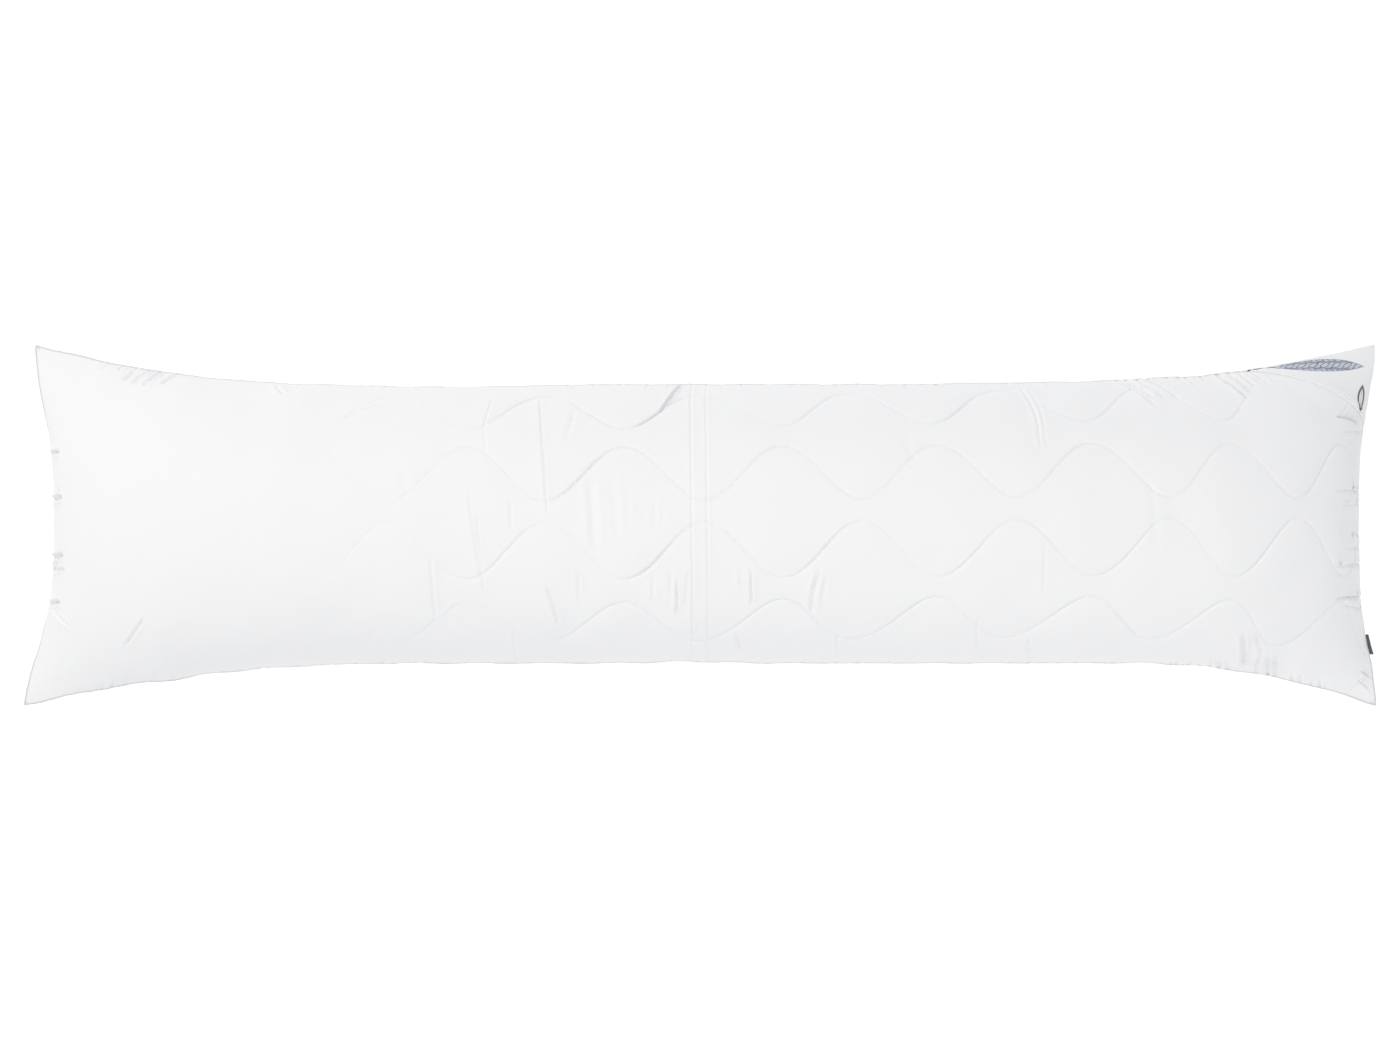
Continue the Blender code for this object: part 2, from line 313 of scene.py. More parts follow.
    def place(self, u: np.ndarray, v: np.ndarray, face: Face) -> np.ndarray:
        """Where flat points lie on the filled form.

        Args:
            u: Flat lengths along the pillow.
            v: Flat lengths across it.
            face: The front or the back panel.

        Returns:
            One place a row.
        """
        across = np.clip(v / self.half_width, -1.0, 1.0)
        middle_x = np.interp(u, self.flat_lengths, self.middle_x)
        full = self.fullness(middle_x)
        angle = self.end_arc_angle + (self.arc_angle - self.end_arc_angle) * full
        top, low = self.seam_y(Side.TOP, u), self.seam_y(Side.BOTTOM, u)
        x = middle_x + (self.seam_x(u, across) - middle_x) * self.end_curve(across)
        y = (top + low) / 2.0 + (top - low) / 2.0 * np.sin(angle * across) / np.sin(angle)
        arch = (np.cos(angle * across) - np.cos(angle)) / (1.0 - np.cos(angle))
        end = np.abs(np.where(u < 0.0, u / self.flat_left, u / self.flat_right))
        seam = self.seam_height - self.end_drop * end**3 - self.corner_drop * end**6 * across**4
        height = self.crown if face is Face.FRONT else -self.back_depth
        z = seam + height * full * arch + self.gather_lift(u, v)
        return np.stack([x, y, self.pressed(z)], axis=-1)

    def to_seams(self, u: np.ndarray, v: np.ndarray) -> dict[Side | End, np.ndarray]:
        """The flat distance from (u, v) to each of the four seams."""
        return {
            Side.TOP: self.half_width - v,
            Side.BOTTOM: self.half_width + v,
            End.LEFT: u - self.flat_left,
            End.RIGHT: self.flat_right - u,
        }

    def to_nearest_seam(self, u: np.ndarray, v: np.ndarray) -> np.ndarray:
        """The flat distance from (u, v) to the nearest seam."""
        return np.min(list(self.to_seams(u, v).values()), axis=0)


LINE_PLACES = (-0.130, 0.300, 0.650)
LINE_SHIFTS = (
    (-0.0089, 0.0000, 0.0000),
    (-0.0057, -0.0022, -0.0055),
    (-0.0018, 0.0016, 0.0010),
    (-0.0031, 0.0055, 0.0000),
    (0.0, 0.0, 0.0),
)
LAG_PLACES = (-0.200, -0.050, 0.060, 0.350, 0.440, 0.560, 0.660)
LAGS = (0.0, 0.0035, 0.0068, 0.0070, 0.0095, 0.0080, 0.0045)
FIRM_SPOTS = (
    (0, -0.110, 0.026, 0.8), (0, 0.190, 0.018, 0.6), (0, 0.275, 0.018, 0.7),
    (0, 0.400, 0.020, 0.5), (1, -0.118, 0.028, 1.7), (1, 0.070, 0.022, 0.5),
    (1, 0.385, 0.020, 0.6), (2, -0.048, 0.020, 1.1), (2, 0.040, 0.022, 0.5),
    (2, 0.135, 0.020, 0.7), (2, 0.345, 0.018, 0.6), (3, -0.045, 0.014, 0.9),
    (3, 0.110, 0.020, 1.0), (3, 0.440, 0.022, 0.7), (3, -0.210, 0.090, -0.85),
    (0, 0.640, 0.048, -1.1),
)
LINE_FIRMNESS = (1.0, 1.0, 1.0, 1.0, 0.2)


@dataclass
class Quilting:
    """The wave-like sewn lines, neighbours in opposite phase, and the channels they draw in."""

    form: PillowForm
    wave_length: float = 0.156
    wave_height: float = 0.0292
    pitch: float = 0.0846
    first_line: float = 0.1425
    count: int = 5
    closing_start: float = 0.400
    closing_reach: float = 0.270
    closing: float = 0.034
    lowest: float = -0.188
    puff_depth: float = 0.0011
    puff_spread: float = 0.013
    puff_round: float = 0.0022
    channel_depth: float = 0.00110
    channel_width: float = 0.0015
    waver: float = 0.35
    level_share: float = 0.74
    climb_share: float = 0.32
    faint_end: float = -0.420
    firm_start: float = -0.200
    faint_share: float = 0.12
    tuck_start: float = -0.068
    tuck_end: float = -0.028
    tuck_fades: tuple[float, float] = (0.012, 0.006)
    tuck_depth: float = 0.0026
    tuck_width: float = 0.0010
    fade: float = 0.008

    def phase(self, u: np.ndarray) -> np.ndarray:
        """The angle that the waves have reached at flat length u."""
        past = np.clip(u - self.closing_start, 0.0, None) / self.closing_reach
        shifted = u - np.interp(u, LAG_PLACES, LAGS) + self.closing * past**1.5
        return FULL_TURN * shifted / self.wave_length

    def swing(self, index: int) -> float:
        """The height of a line's waves, turned over on every other line."""
        return self.wave_height if index % 2 == 0 else -self.wave_height

    def line(self, index: int, u: np.ndarray) -> np.ndarray:
        """The v of a sewn line at flat length u."""
        middle = self.first_line - index * self.pitch
        middle = middle + np.interp(u, LINE_PLACES, LINE_SHIFTS[index])
        return middle + self.swing(index) * np.cos(self.phase(u))

    def slope(self, index: int, u: np.ndarray) -> np.ndarray:
        """How steeply a sewn line climbs at flat length u."""
        return -self.swing(index) * FULL_TURN / self.wave_length * np.sin(self.phase(u))

    def line_length(self, index: int) -> tuple[np.ndarray, np.ndarray]:
        """Dense flat lengths along the pillow and the length of the sewn line up to each."""
        u = np.linspace(self.form.flat_left, self.form.flat_right, 6001)
        return u, running_length(np.diff(u), np.diff(self.line(index, u)))

    def nearest(self, u: np.ndarray, v: np.ndarray) -> tuple[np.ndarray, np.ndarray]:
        """The nearest sewn line to each flat point.

        Args:
            u: Flat lengths along the pillow.
            v: Flat lengths across it.

        Returns:
            How far the point is off the line, above 0 on its upper side, and how far along it.
        """
        off = np.full_like(u, np.inf)
        along = np.zeros_like(u)
        for index in range(self.count):
            slope = self.slope(index, u)
            rise = v - self.line(index, u)
            straight = rise / np.hypot(1.0, slope)
            dense_u, length = self.line_length(index)
            reached = np.interp(u, dense_u, length) + straight * slope
            closer = np.abs(straight) < np.abs(off)
            off = np.where(closer, straight, off)
            along = np.where(closer, reached, along)
        return off, along

    def firmness(self, u: np.ndarray) -> np.ndarray:
        """How firmly the sewing draws in: the stitches are slack towards the left end."""
        share = smooth_step((u - self.faint_end) / (self.firm_start - self.faint_end))
        return self.faint_share + (1.0 - self.faint_share) * share

    def pull(self, index: int, u: np.ndarray) -> np.ndarray:
        """How hard a line is drawn in along its length, most where it climbs, and unevenly.

        Args:
            index: Which line, counted from the top.
            u: Flat lengths along the pillow.

        Returns:
            A share of the channel's depth for each length.
        """
        share = 1.0 + self.waver * np.sin(u * 61.0 + index * 2.1) * np.sin(u * 23.0 + index)
        steepest = self.wave_height * FULL_TURN / self.wave_length
        share = share * (self.level_share + self.climb_share * self.slope(index, u) / steepest)
        for line, middle, reach, extra in FIRM_SPOTS:
            if line == index:
                share = share + extra * np.exp(-(((u - middle) / reach) ** 2))
        return np.clip(share, 0.0, None) * LINE_FIRMNESS[index]

    def depth(self, u: np.ndarray, v: np.ndarray) -> np.ndarray:
        """How deep the sewing draws the cloth in.

        Args:
            u: Flat lengths along the pillow.
            v: Flat lengths across it.

        Returns:
            The depth below the filled form.
        """
        untouched, channel = np.ones_like(u), np.zeros_like(u)
        for index in range(self.count):
            off = (v - self.line(index, u)) / np.hypot(1.0, self.slope(index, u))
            away = np.hypot(off, self.puff_round) - self.puff_round
            untouched = untouched * (1.0 - np.exp(-away / self.puff_spread))
            channel += self.pull(index, u) * np.exp(-((off / self.channel_width) ** 2))
            if index == 0:
                rise, fall = self.tuck_fades
                tuck = smooth_step((u - self.tuck_start) / rise)
                tuck = tuck * smooth_step((self.tuck_end - u) / fall)
                tuck = self.tuck_depth * tuck * np.exp(-((off / self.tuck_width) ** 2))
        depth = self.puff_depth * (1.0 - untouched) + self.channel_depth * channel
        return depth * self.firmness(u) + tuck


@dataclass(frozen=True)
class Fold:
    """A soft trough along a bowed line, with raised lips. A depth below 0 makes it a ridge."""

    start: tuple[float, float]
    end: tuple[float, float]
    depth: float = 0.0006
    width: float = 0.0024
    bow: float = 0.0
    lips: float = 0.45
    both_faces: bool = False
    soft_share: float = 0.18
    longest_step: float = 0.85

    def measure(self, u: np.ndarray, v: np.ndarray) -> tuple[np.ndarray, np.ndarray]:
        """Where flat points are, seen from the fold.

        Args:
            u: Flat lengths along the pillow.
            v: Flat lengths across it.

        Returns:
            The share of the fold's length, and how many fold widths off it.
        """
        run_u, run_v = np.subtract(self.end, self.start)
        length = float(np.hypot(run_u, run_v))
        from_u, from_v = u - self.start[0], v - self.start[1]
        along = (from_u * run_u + from_v * run_v) / length**2
        off = (from_v * run_u - from_u * run_v) / length
        inside = np.clip(along, 0.0, 1.0)
        return along, (off - 4.0 * self.bow * inside * (1.0 - inside)) / self.width

    def lift(self, u: np.ndarray, v: np.ndarray) -> np.ndarray:
        """How far the fold lifts the cloth.

        Args:
            u: Flat lengths along the pillow.
            v: Flat lengths across it.

        Returns:
            The lift along the cloth's normal.
        """
        along, off = self.measure(u, v)
        length = float(np.hypot(*np.subtract(self.end, self.start)))
        soft_end = max(self.soft_share * length, 2.0 * self.width) / length
        ends = smooth_step((along + soft_end / 2.0) / soft_end)
        ends = ends * smooth_step((1.0 + soft_end / 2.0 - along) / soft_end)
        lips = self.lips * np.exp(-((np.abs(off) - 2.0) ** 2))
        return self.depth * ends * (lips - np.exp(-(off**2)))

    def too_long(self, start: np.ndarray, end: np.ndarray) -> np.ndarray:
        """Which straight edges on the flat cloth are too long to follow the fold.

        Args:
            start: The flat start of each edge, one a row.
            end: Its flat end.

        Returns:
            True for each edge that is on the fold and steps over too much of its width.
        """
        middle = (start + end) / 2.0
        along, off = self.measure(middle[:, 0], middle[:, 1])
        run = unit(np.subtract(self.end, self.start))
        step = end - start
        over = np.abs(step[:, 1] * run[0] - step[:, 0] * run[1])
        near = (np.abs(along - 0.5) < 0.65) & (np.abs(off) < 3.4)
        return near & (over > self.longest_step * self.width)


@dataclass(frozen=True)
class Ruffle:
    """A row of short folds that run in from a seam where the cloth is gathered."""

    start: tuple[float, float]
    step: tuple[float, float]
    reach: tuple[float, float]
    count: int
    depth: float = 0.0009
    width: float = 0.0021
    seed: int = 1
    shift_share: float = 0.28
    reach_share: float = 0.35
    depth_share: float = 0.35
    width_share: float = 0.20
    largest_lean: float = 0.002
    largest_bow: float = 0.0008

    def folds(self) -> list[Fold]:
        """The folds of the row, as uneven as hand-gathered cloth."""
        draws = np.random.default_rng(self.seed).uniform(-1.0, 1.0, (self.count, 5))
        made = []
        for index, (shift, longer, lean, deeper, wider) in enumerate(draws):
            root = np.add(self.start, np.multiply(self.step, index + self.shift_share * shift))
            reach = np.multiply(self.reach, 1.0 + self.reach_share * longer)
            tip = root + reach + np.array([self.largest_lean * lean, 0.0])
            depth = self.depth * (1.0 + self.depth_share * deeper)
            width = self.width * (1.0 + self.width_share * wider)
            bow = self.largest_bow * lean
            made.append(Fold(tuple(root), tuple(tip), depth, width, bow, both_faces=True))
        return made


PACKING_CREASES = (
    Fold((-0.002, 0.192), (0.003, -0.197), 0.00084, 0.0012, bow=-0.0085),
    Fold((0.014, 0.192), (0.019, -0.197), 0.00073, 0.0012, bow=-0.0090),
    Fold((-0.1629, 0.1541), (-0.1534, 0.0168), 0.00126, 0.0013),
    Fold((-0.2322, 0.0288), (-0.2165, -0.0703), 0.00098, 0.0013),
    Fold((-0.2235, 0.0057), (-0.2153, -0.0683), 0.00063, 0.0012),
    Fold((-0.2122, 0.1520), (-0.2185, 0.1080), 0.00084, 0.0013),
    Fold((-0.2184, 0.1021), (-0.2154, 0.0783), 0.00056, 0.0014),
    Fold((0.3472, 0.1753), (0.3462, 0.0824), 0.00112, 0.0014, bow=0.0030),
    Fold((0.3549, 0.1667), (0.3519, 0.0876), 0.00056, 0.0014, bow=0.0030),
    Fold((0.3456, -0.0270), (0.3488, -0.0696), 0.00070, 0.0014),
    Fold((-0.1866, -0.1254), (-0.1856, -0.1730), 0.00098, 0.0014),
    Fold((0.2867, -0.1077), (0.2972, -0.1551), 0.00084, 0.0015),
    Fold((-0.0364, 0.1343), (-0.0140, 0.1970), 0.00322, 0.0011, bow=-0.0015),
)
SOFT_PUCKERS = (
    Fold((-0.110, 0.042), (-0.106, -0.022), 0.00174, 0.0040, bow=0.0010),
    Fold((-0.087, 0.036), (-0.083, -0.014), 0.00072, 0.0034),
    Fold((-0.073, 0.030), (-0.072, 0.006), 0.00058, 0.0024),
    Fold((-0.050, 0.178), (-0.050, 0.198), 0.00102, 0.0015),
    Fold((-0.364, 0.120), (-0.330, 0.142), 0.00065, 0.0018),
    Fold((-0.300, 0.060), (-0.292, 0.010), 0.00051, 0.0040),
    Fold((-0.372, 0.090), (-0.366, 0.030), 0.00043, 0.0042),
    Fold((0.210, 0.100), (0.217, 0.060), 0.00043, 0.0042),
    Fold((0.454, 0.040), (0.458, -0.020), 0.00041, 0.0040),
    Fold((-0.708, 0.026), (-0.676, 0.030), 0.00479, 0.0021, both_faces=True),
    Fold((-0.708, 0.076), (-0.680, 0.078), 0.00362, 0.0020, both_faces=True),
    Fold((-0.708, -0.036), (-0.674, -0.031), 0.00464, 0.0022, both_faces=True),
    Fold((-0.708, -0.050), (-0.670, -0.046), 0.00217, 0.0017),
    Fold((-0.710, -0.085), (-0.678, -0.081), 0.00377, 0.0019, both_faces=True),
    Fold((-0.1898, 0.0203), (-0.1885, -0.0011), 0.00094, 0.0018),
    Fold((-0.1264, 0.1262), (-0.1342, 0.0920), 0.00109, 0.0024),
    Fold((-0.2837, -0.0182), (-0.2697, -0.0363), 0.00080, 0.0017, bow=-0.0008),
    Fold((-0.2697, -0.0363), (-0.2661, -0.0979), 0.00087, 0.0017, bow=-0.0006),
    Fold((-0.2464, -0.0816), (-0.2651, -0.1058), -0.00080, 0.0022, lips=0.0),
    Fold((-0.0460, 0.0198), (-0.0438, -0.0011), 0.00087, 0.0022),
    Fold((-0.0378, 0.0137), (-0.0372, -0.0002), 0.00065, 0.0020),
    Fold((-0.1215, -0.0520), (-0.1206, -0.0777), 0.00102, 0.0018),
    Fold((-0.1525, -0.0682), (-0.1409, -0.1083), 0.00152, 0.0016, bow=0.0006),
    Fold((-0.0467, -0.0561), (-0.0455, -0.0802), 0.00094, 0.0020),
    Fold((-0.0291, -0.0510), (-0.0281, -0.0703), 0.00116, 0.0020),
    Fold((-0.0227, -0.0604), (-0.0206, -0.0952), 0.00196, 0.0015, bow=0.0006),
    Fold((-0.0115, -0.0520), (-0.0115, -0.0784), 0.00102, 0.0018),
    Fold((0.0411, -0.0510), (0.0417, -0.0626), 0.00102, 0.0018),
    Fold((0.0521, -0.0506), (0.0546, -0.0817), 0.00181, 0.0015),
    Fold((0.1211, -0.0500), (0.1172, -0.0939), 0.00217, 0.0023, bow=-0.0030),
    Fold((0.1273, -0.0541), (0.1265, -0.0816), 0.00072, 0.0020),
    Fold((0.0424, -0.1270), (0.0505, -0.1580), 0.00116, 0.0017),
    Fold((0.3463, -0.1394), (0.3580, -0.1860), 0.00116, 0.0017),
    Fold((0.1479, -0.1301), (0.1522, -0.1673), 0.00087, 0.0017),
    Fold((-0.5930, -0.1305), (-0.5721, -0.1001), 0.00174, 0.0018),
    Fold((-0.7105, -0.0827), (-0.6655, -0.1049), 0.00160, 0.0017, bow=0.0012),
    Fold((-0.6175, 0.1907), (-0.6022, 0.1911), 0.00203, 0.0014),
    Fold((-0.4464, 0.1897), (-0.4337, 0.1636), 0.00217, 0.0018),
    Fold((0.5665, -0.1262), (0.5865, -0.1831), 0.00304, 0.0020, bow=0.0012),
    Fold((0.5817, -0.1257), (0.5975, -0.1560), 0.00188, 0.0018),
    Fold((0.6757, 0.1142), (0.7114, 0.1084), 0.00232, 0.0016, bow=0.0015),
    Fold((0.6810, 0.0958), (0.7299, 0.1020), 0.00116, 0.0015),
    Fold((0.6585, 0.0311), (0.7180, 0.0340), 0.00160, 0.0015, bow=0.0008),
    Fold((0.6670, 0.0173), (0.7179, 0.0212), 0.00116, 0.0014),
    Fold((0.6606, -0.0109), (0.7264, -0.0100), 0.00160, 0.0015, bow=0.0006),
    Fold((0.6710, -0.0259), (0.7226, -0.0240), 0.00087, 0.0014),
    Fold((0.6596, -0.0445), (0.7197, -0.0420), 0.00130, 0.0015),
    Fold((0.6651, -0.0792), (0.7281, -0.0780), 0.00246, 0.0016, bow=0.0010),
    Fold((0.6824, -0.0875), (0.7337, -0.0920), 0.00116, 0.0015),
    Fold((0.7207, -0.1632), (0.7368, -0.1683), 0.00217, 0.0015, bow=0.0008),
    Fold((0.7180, -0.1753), (0.7318, -0.1826), 0.00174, 0.0015),
)
RUFFLES = (
    Ruffle((-0.596, 0.198), (0.0125, 0.0), (-0.013, -0.030), 4, 0.00210, 0.0018, seed=3),
    Ruffle((-0.640, 0.198), (0.0120, 0.0), (-0.004, -0.010), 8, 0.00098, 0.0016, seed=4),
    Ruffle((0.451, 0.199), (0.0108, 0.0), (0.020, -0.052), 4, 0.00330, 0.0019, seed=5),
    Ruffle((0.506, 0.199), (0.0120, 0.0), (0.006, -0.018), 4, 0.00126, 0.0017, seed=6),
    Ruffle((0.563, 0.199), (0.0115, 0.0), (0.012, -0.038), 4, 0.00290, 0.0018, seed=8),
    Ruffle((0.510, -0.199), (0.0104, 0.0), (-0.003, 0.014), 4, 0.00154, 0.0016, seed=10),
    Ruffle((0.556, -0.199), (0.0100, 0.0), (-0.005, 0.020), 3, 0.00196, 0.0017, seed=12),
    Ruffle((0.602, -0.199), (0.0125, 0.0), (-0.008, 0.034), 3, 0.00200, 0.0018, seed=13),
    Ruffle((0.642, -0.199), (0.0110, 0.0), (-0.003, 0.012), 4, 0.00126, 0.0016, seed=14),
    Ruffle((-0.630, -0.199), (0.0150, 0.0), (0.006, 0.018), 7, 0.00063, 0.0019, seed=17),
    Ruffle((-0.420, 0.199), (0.0400, 0.0), (0.002, -0.012), 21, 0.00063, 0.0017, seed=19),
    Ruffle((-0.460, -0.199), (0.0360, 0.0), (0.001, 0.012), 26, 0.00063, 0.0017, seed=23),
)


CLOTH = {
    "quality": 6,
    "mass": 0.3,
    "tension_stiffness": 25.0,
    "compression_stiffness": 25.0,
    "shear_stiffness": 8.0,
    "bending_stiffness": 2.0,
    "tension_damping": 10.0,
    "compression_damping": 10.0,
    "shear_damping": 8.0,
    "bending_damping": 1.0,
    "air_damping": 2.0,
    "use_pressure": True,
    "uniform_pressure_force": 4.0,
}


@dataclass
class SettledCloth:
    """How the filling pushes the cut cloth, from a cloth simulation of a coarse pillow."""

    form: PillowForm
    columns: int = 182
    rows: int = 50
    frames: int = 24
    cut_width: float = 0.985
    largest_move: float = 0.007
    same_place: float = 1e-5
    moves: dict[Face, np.ndarray] = field(default_factory=dict)

    def panel(self, face: Face) -> bmesh.types.BMesh:
        """A coarse panel on the filled form that remembers its flat places.

        Args:
            face: The front or the back panel.

        Returns:
            An open grid.
        """
        grid = grid_shape(self.columns, self.rows)
        flat = grid.verts.layers.float_vector.new("flat")
        where = grid_shares(grid)
        u = self.form.flat_left + where[:, 0] * (self.form.flat_right - self.form.flat_left)
        v = (where[:, 1] * 2.0 - 1.0) * self.form.half_width
        inner = self.form.to_nearest_seam(u, v) > self.same_place
        for vert, along, over, inside, place in zip(
            grid.verts, u, v, inner, self.form.place(u, v, face)
        ):
            vert.co = place
            vert[flat] = (along, over, 2.0 * MM * face.value if inside else 0.0)
        if face is Face.BACK:
            bmesh.ops.reverse_faces(grid, faces=grid.faces[:])
        return grid

    def coarse_pillow(self) -> tuple[bpy.types.Object, np.ndarray]:
        """The two coarse panels sewn together, and the flat place of each vertex."""
        whole = joined(mesh_of("coarse_side", self.panel(face)) for face in Face)
        bmesh.ops.remove_doubles(whole, verts=whole.verts[:], dist=self.same_place)
        layer = whole.verts.layers.float_vector["flat"]
        flat = np.array([vert[layer][:] for vert in whole.verts])
        return placed("coarse_pillow", mesh_of("coarse_pillow", whole)), flat

    def add_cloth(self, pillow: bpy.types.Object, flat: np.ndarray) -> None:
        """Give the coarse pillow its cloth, pinned along the seam and cut to its flat size.

        Args:
            pillow: The coarse pillow.
            flat: The flat place of each vertex.
        """
        pillow.shape_key_add(name="Basis")
        cut = pillow.shape_key_add(name="Cut")
        cut.data.foreach_set("co", (flat * (1.0, self.cut_width, 1.0)).ravel())
        cut.value = 0.0
        seam = pillow.vertex_groups.new(name="seam")
        to_seam = self.form.to_nearest_seam(flat[:, 0], flat[:, 1])
        seam.add(np.flatnonzero(to_seam < self.same_place).tolist(), 1.0, "REPLACE")
        cloth = pillow.modifiers.new("Cloth", "CLOTH")
        settings = cloth.settings
        for name, value in CLOTH.items():
            setattr(settings, name, value)
        settings.vertex_group_mass = seam.name
        settings.rest_shape_key = cut
        settings.effector_weights.gravity = 0.0
        cloth.collision_settings.use_collision = False
        cloth.point_cache.frame_start = 1
        cloth.point_cache.frame_end = self.frames

    def run(self) -> None:
        """Let the filling push the cloth, and keep how far each coarse vertex moved."""
        pillow, flat = self.coarse_pillow()
        start = np.array([vert.co[:] for vert in pillow.data.vertices])
        self.add_cloth(pillow, flat)
        for step in range(1, self.frames + 1):
            bpy.context.scene.frame_set(step)
        settled = pillow.evaluated_get(bpy.context.evaluated_depsgraph_get()).to_mesh()
        moved = np.array([vert.co[:] for vert in settled.vertices]) - start
        pace = np.linalg.norm(moved, axis=1, keepdims=True) / self.largest_move
        moved = moved * np.tanh(pace) / np.maximum(pace, 1e-9)
        span = self.form.flat_right - self.form.flat_left
        column = np.rint((flat[:, 0] - self.form.flat_left) / span * self.columns).astype(int)
        row = np.rint((flat[:, 1] / self.form.half_width + 1.0) / 2.0 * self.rows).astype(int)
        for face in Face:
            grid = np.zeros((self.rows + 1, self.columns + 1, 3))
            here = flat[:, 2] * face.value > 0.0
            grid[row[here], column[here]] = moved[here]
            self.moves[face] = grid
        bpy.data.objects.remove(pillow, do_unlink=True)
        bpy.context.scene.frame_set(1)
        LOG.info("settled cloth: mean move %.2f mm", np.linalg.norm(moved, axis=1).mean() / MM)

    @staticmethod
    def weights(share: np.ndarray) -> np.ndarray:
        """The weights of the four neighbours of a point on a smooth curve."""
        square, cube = share**2, share**3
        return np.stack([
            -0.5 * share + square - 0.5 * cube,
            1.0 - 2.5 * square + 1.5 * cube,
            0.5 * share + 2.0 * square - 1.5 * cube,
            -0.5 * square + 0.5 * cube,
        ])

    def shift(self, u: np.ndarray, v: np.ndarray, face: Face) -> np.ndarray:
        """How far the settled cloth lies off the filled form.

        Args:
            u: Flat lengths along the pillow.
            v: Flat lengths across it.
            face: The front or the back panel.

        Returns:
            One move a row.
        """
        if face not in self.moves:
            return np.zeros((len(u), 3))
        span = self.form.flat_right - self.form.flat_left
        x = np.clip((u - self.form.flat_left) / span, 0.0, 1.0) * self.columns
        y = np.clip((v / self.form.half_width + 1.0) / 2.0, 0.0, 1.0) * self.rows
        left, low = np.floor(x).astype(int), np.floor(y).astype(int)
        over, up = self.weights(x - left), self.weights(y - low)
        grid = self.moves[face]
        move = np.zeros((len(u), 3))
        for row in range(4):
            for column in range(4):
                near_row = np.clip(low + row - 1, 0, self.rows)
                near_column = np.clip(left + column - 1, 0, self.columns)
                move += (up[row] * over[column])[:, None] * grid[near_row, near_column]
        return move


@dataclass(frozen=True)
class PatchCut:
    """The flat cut of the corner patch: a triangle with a leg along each of two seams."""

    along: float = 0.147
    down: float = 0.094

    def side(self, form: PillowForm, u: np.ndarray, v: np.ndarray) -> np.ndarray:
        """Above 0 on the corner's side of the diagonal edge, as a share of the patch."""
        return 1.0 - (form.flat_right - u) / self.along - (form.half_width - v) / self.down


SEAM_BULGES = (
    (Side.TOP, 0.535, 0.070, 0.0040),
    (Side.TOP, -0.260, 0.100, -0.0028),
    (Side.BOTTOM, 0.000, 0.050, -0.0018),
    (Side.BOTTOM, -0.550, 0.030, 0.0020),
)


@dataclass
class SeamLine:
    """The small scallops, drawn-in stitches and rounded tips of the seam all round."""

    form: PillowForm
    scallop: float = 0.00016
    scallop_wave: float = 0.0130
    sway: float = 0.0005
    sway_wave: float = 0.060
    reach: float = 0.008
    bulge_reach: float = 0.030
    tip_pull: float = 0.0008
    tip_share: float = 0.7
    tip_reach: float = 0.0060
    crevice: float = 0.0009
    crevice_reach: float = 0.0030
    pucker: float = 0.00042
    pucker_wave: float = 0.0125
    pucker_reach: float = 0.009
    pucker_middle: float = 0.65
    pucker_change: float = 0.6
    change_wave: float = 0.11
    least_pucker: float = 0.1
    shortest_share: float = 0.7
    share_range: float = 0.9
    wander_scale: float = 2.4
    seed: int = 41

    def wander(self, along: np.ndarray, wave: float, stream: int) -> np.ndarray:
        """An uneven wave between about -1 and 1.

        Args:
            along: Lengths along a seam.
            wave: The wave's usual length.
            stream: Which of the uneven waves.

        Returns:
            The height of the wave at each length.
        """
        draws = np.random.default_rng(self.seed + stream).uniform(0.0, 1.0, (5, 2))
        height = np.zeros_like(along)
        for stretch, start in draws:
            length = wave * (self.shortest_share + self.share_range * stretch)
            height += np.sin(FULL_TURN * (along / length + start))
        return height / self.wander_scale

    def offset(self, u: np.ndarray, v: np.ndarray) -> np.ndarray:
        """How far the seam and the cloth near it lie off the form, alike on both panels.

        Args:
            u: Flat lengths along the pillow.
            v: Flat lengths across it.

        Returns:
            One move a row.
        """
        outward = {Side.TOP: (0, 1), Side.BOTTOM: (0, -1), End.LEFT: (-1, 0), End.RIGHT: (1, 0)}
        move = np.zeros((len(u), 3))
        for stream, (seam, distance) in enumerate(self.form.to_seams(u, v).items()):
            along = u if isinstance(seam, Side) else v
            fade = np.exp(-distance / self.reach)
            out = self.scallop * self.wander(along, self.scallop_wave, stream)
            out = out + self.sway * self.wander(along, self.sway_wave, stream + 10)
            rise = self.sway * self.wander(along, self.sway_wave, stream + 20)
            move[:, 0] += fade * out * outward[seam][0]
            move[:, 1] += fade * out * outward[seam][1]
            move[:, 2] += fade * rise
            for side, middle, half_length, out in SEAM_BULGES:
                if side is seam:
                    bulge = out * np.exp(-(((u - middle) / half_length) ** 2))
                    move[:, 1] += bulge * np.exp(-distance / self.bulge_reach) * outward[seam][1]
        for end in End:
            for side in Side:
                corner_u = self.form.flat_left if end is End.LEFT else self.form.flat_right
                corner_v = side.value * self.form.half_width
                to_tip = np.hypot(u - corner_u, v - corner_v)
                pull = self.tip_pull * np.exp(-to_tip / self.tip_reach)
                move[:, 0] -= pull * end.value * self.tip_share
                move[:, 1] -= pull * side.value * self.tip_share
        return move

    def lift(self, u: np.ndarray, v: np.ndarray) -> np.ndarray:
        """The lift of the small puckers that run in from the seam, and of its crevice."""
        lift = np.zeros_like(u)
        for stream, (seam, distance) in enumerate(self.form.to_seams(u, v).items()):
            along = u if isinstance(seam, Side) else v
            wave = self.wander(along, self.pucker_wave, stream + 30)
            change = self.wander(along, self.change_wave, stream + 40)
            strength = self.pucker_middle + self.pucker_change * change
            strength = self.pucker * np.clip(strength, self.least_pucker, None)
            lift += strength * wave * np.exp(-distance / self.pucker_reach)
            lift -= self.crevice * np.exp(-distance / self.crevice_reach)
        return lift


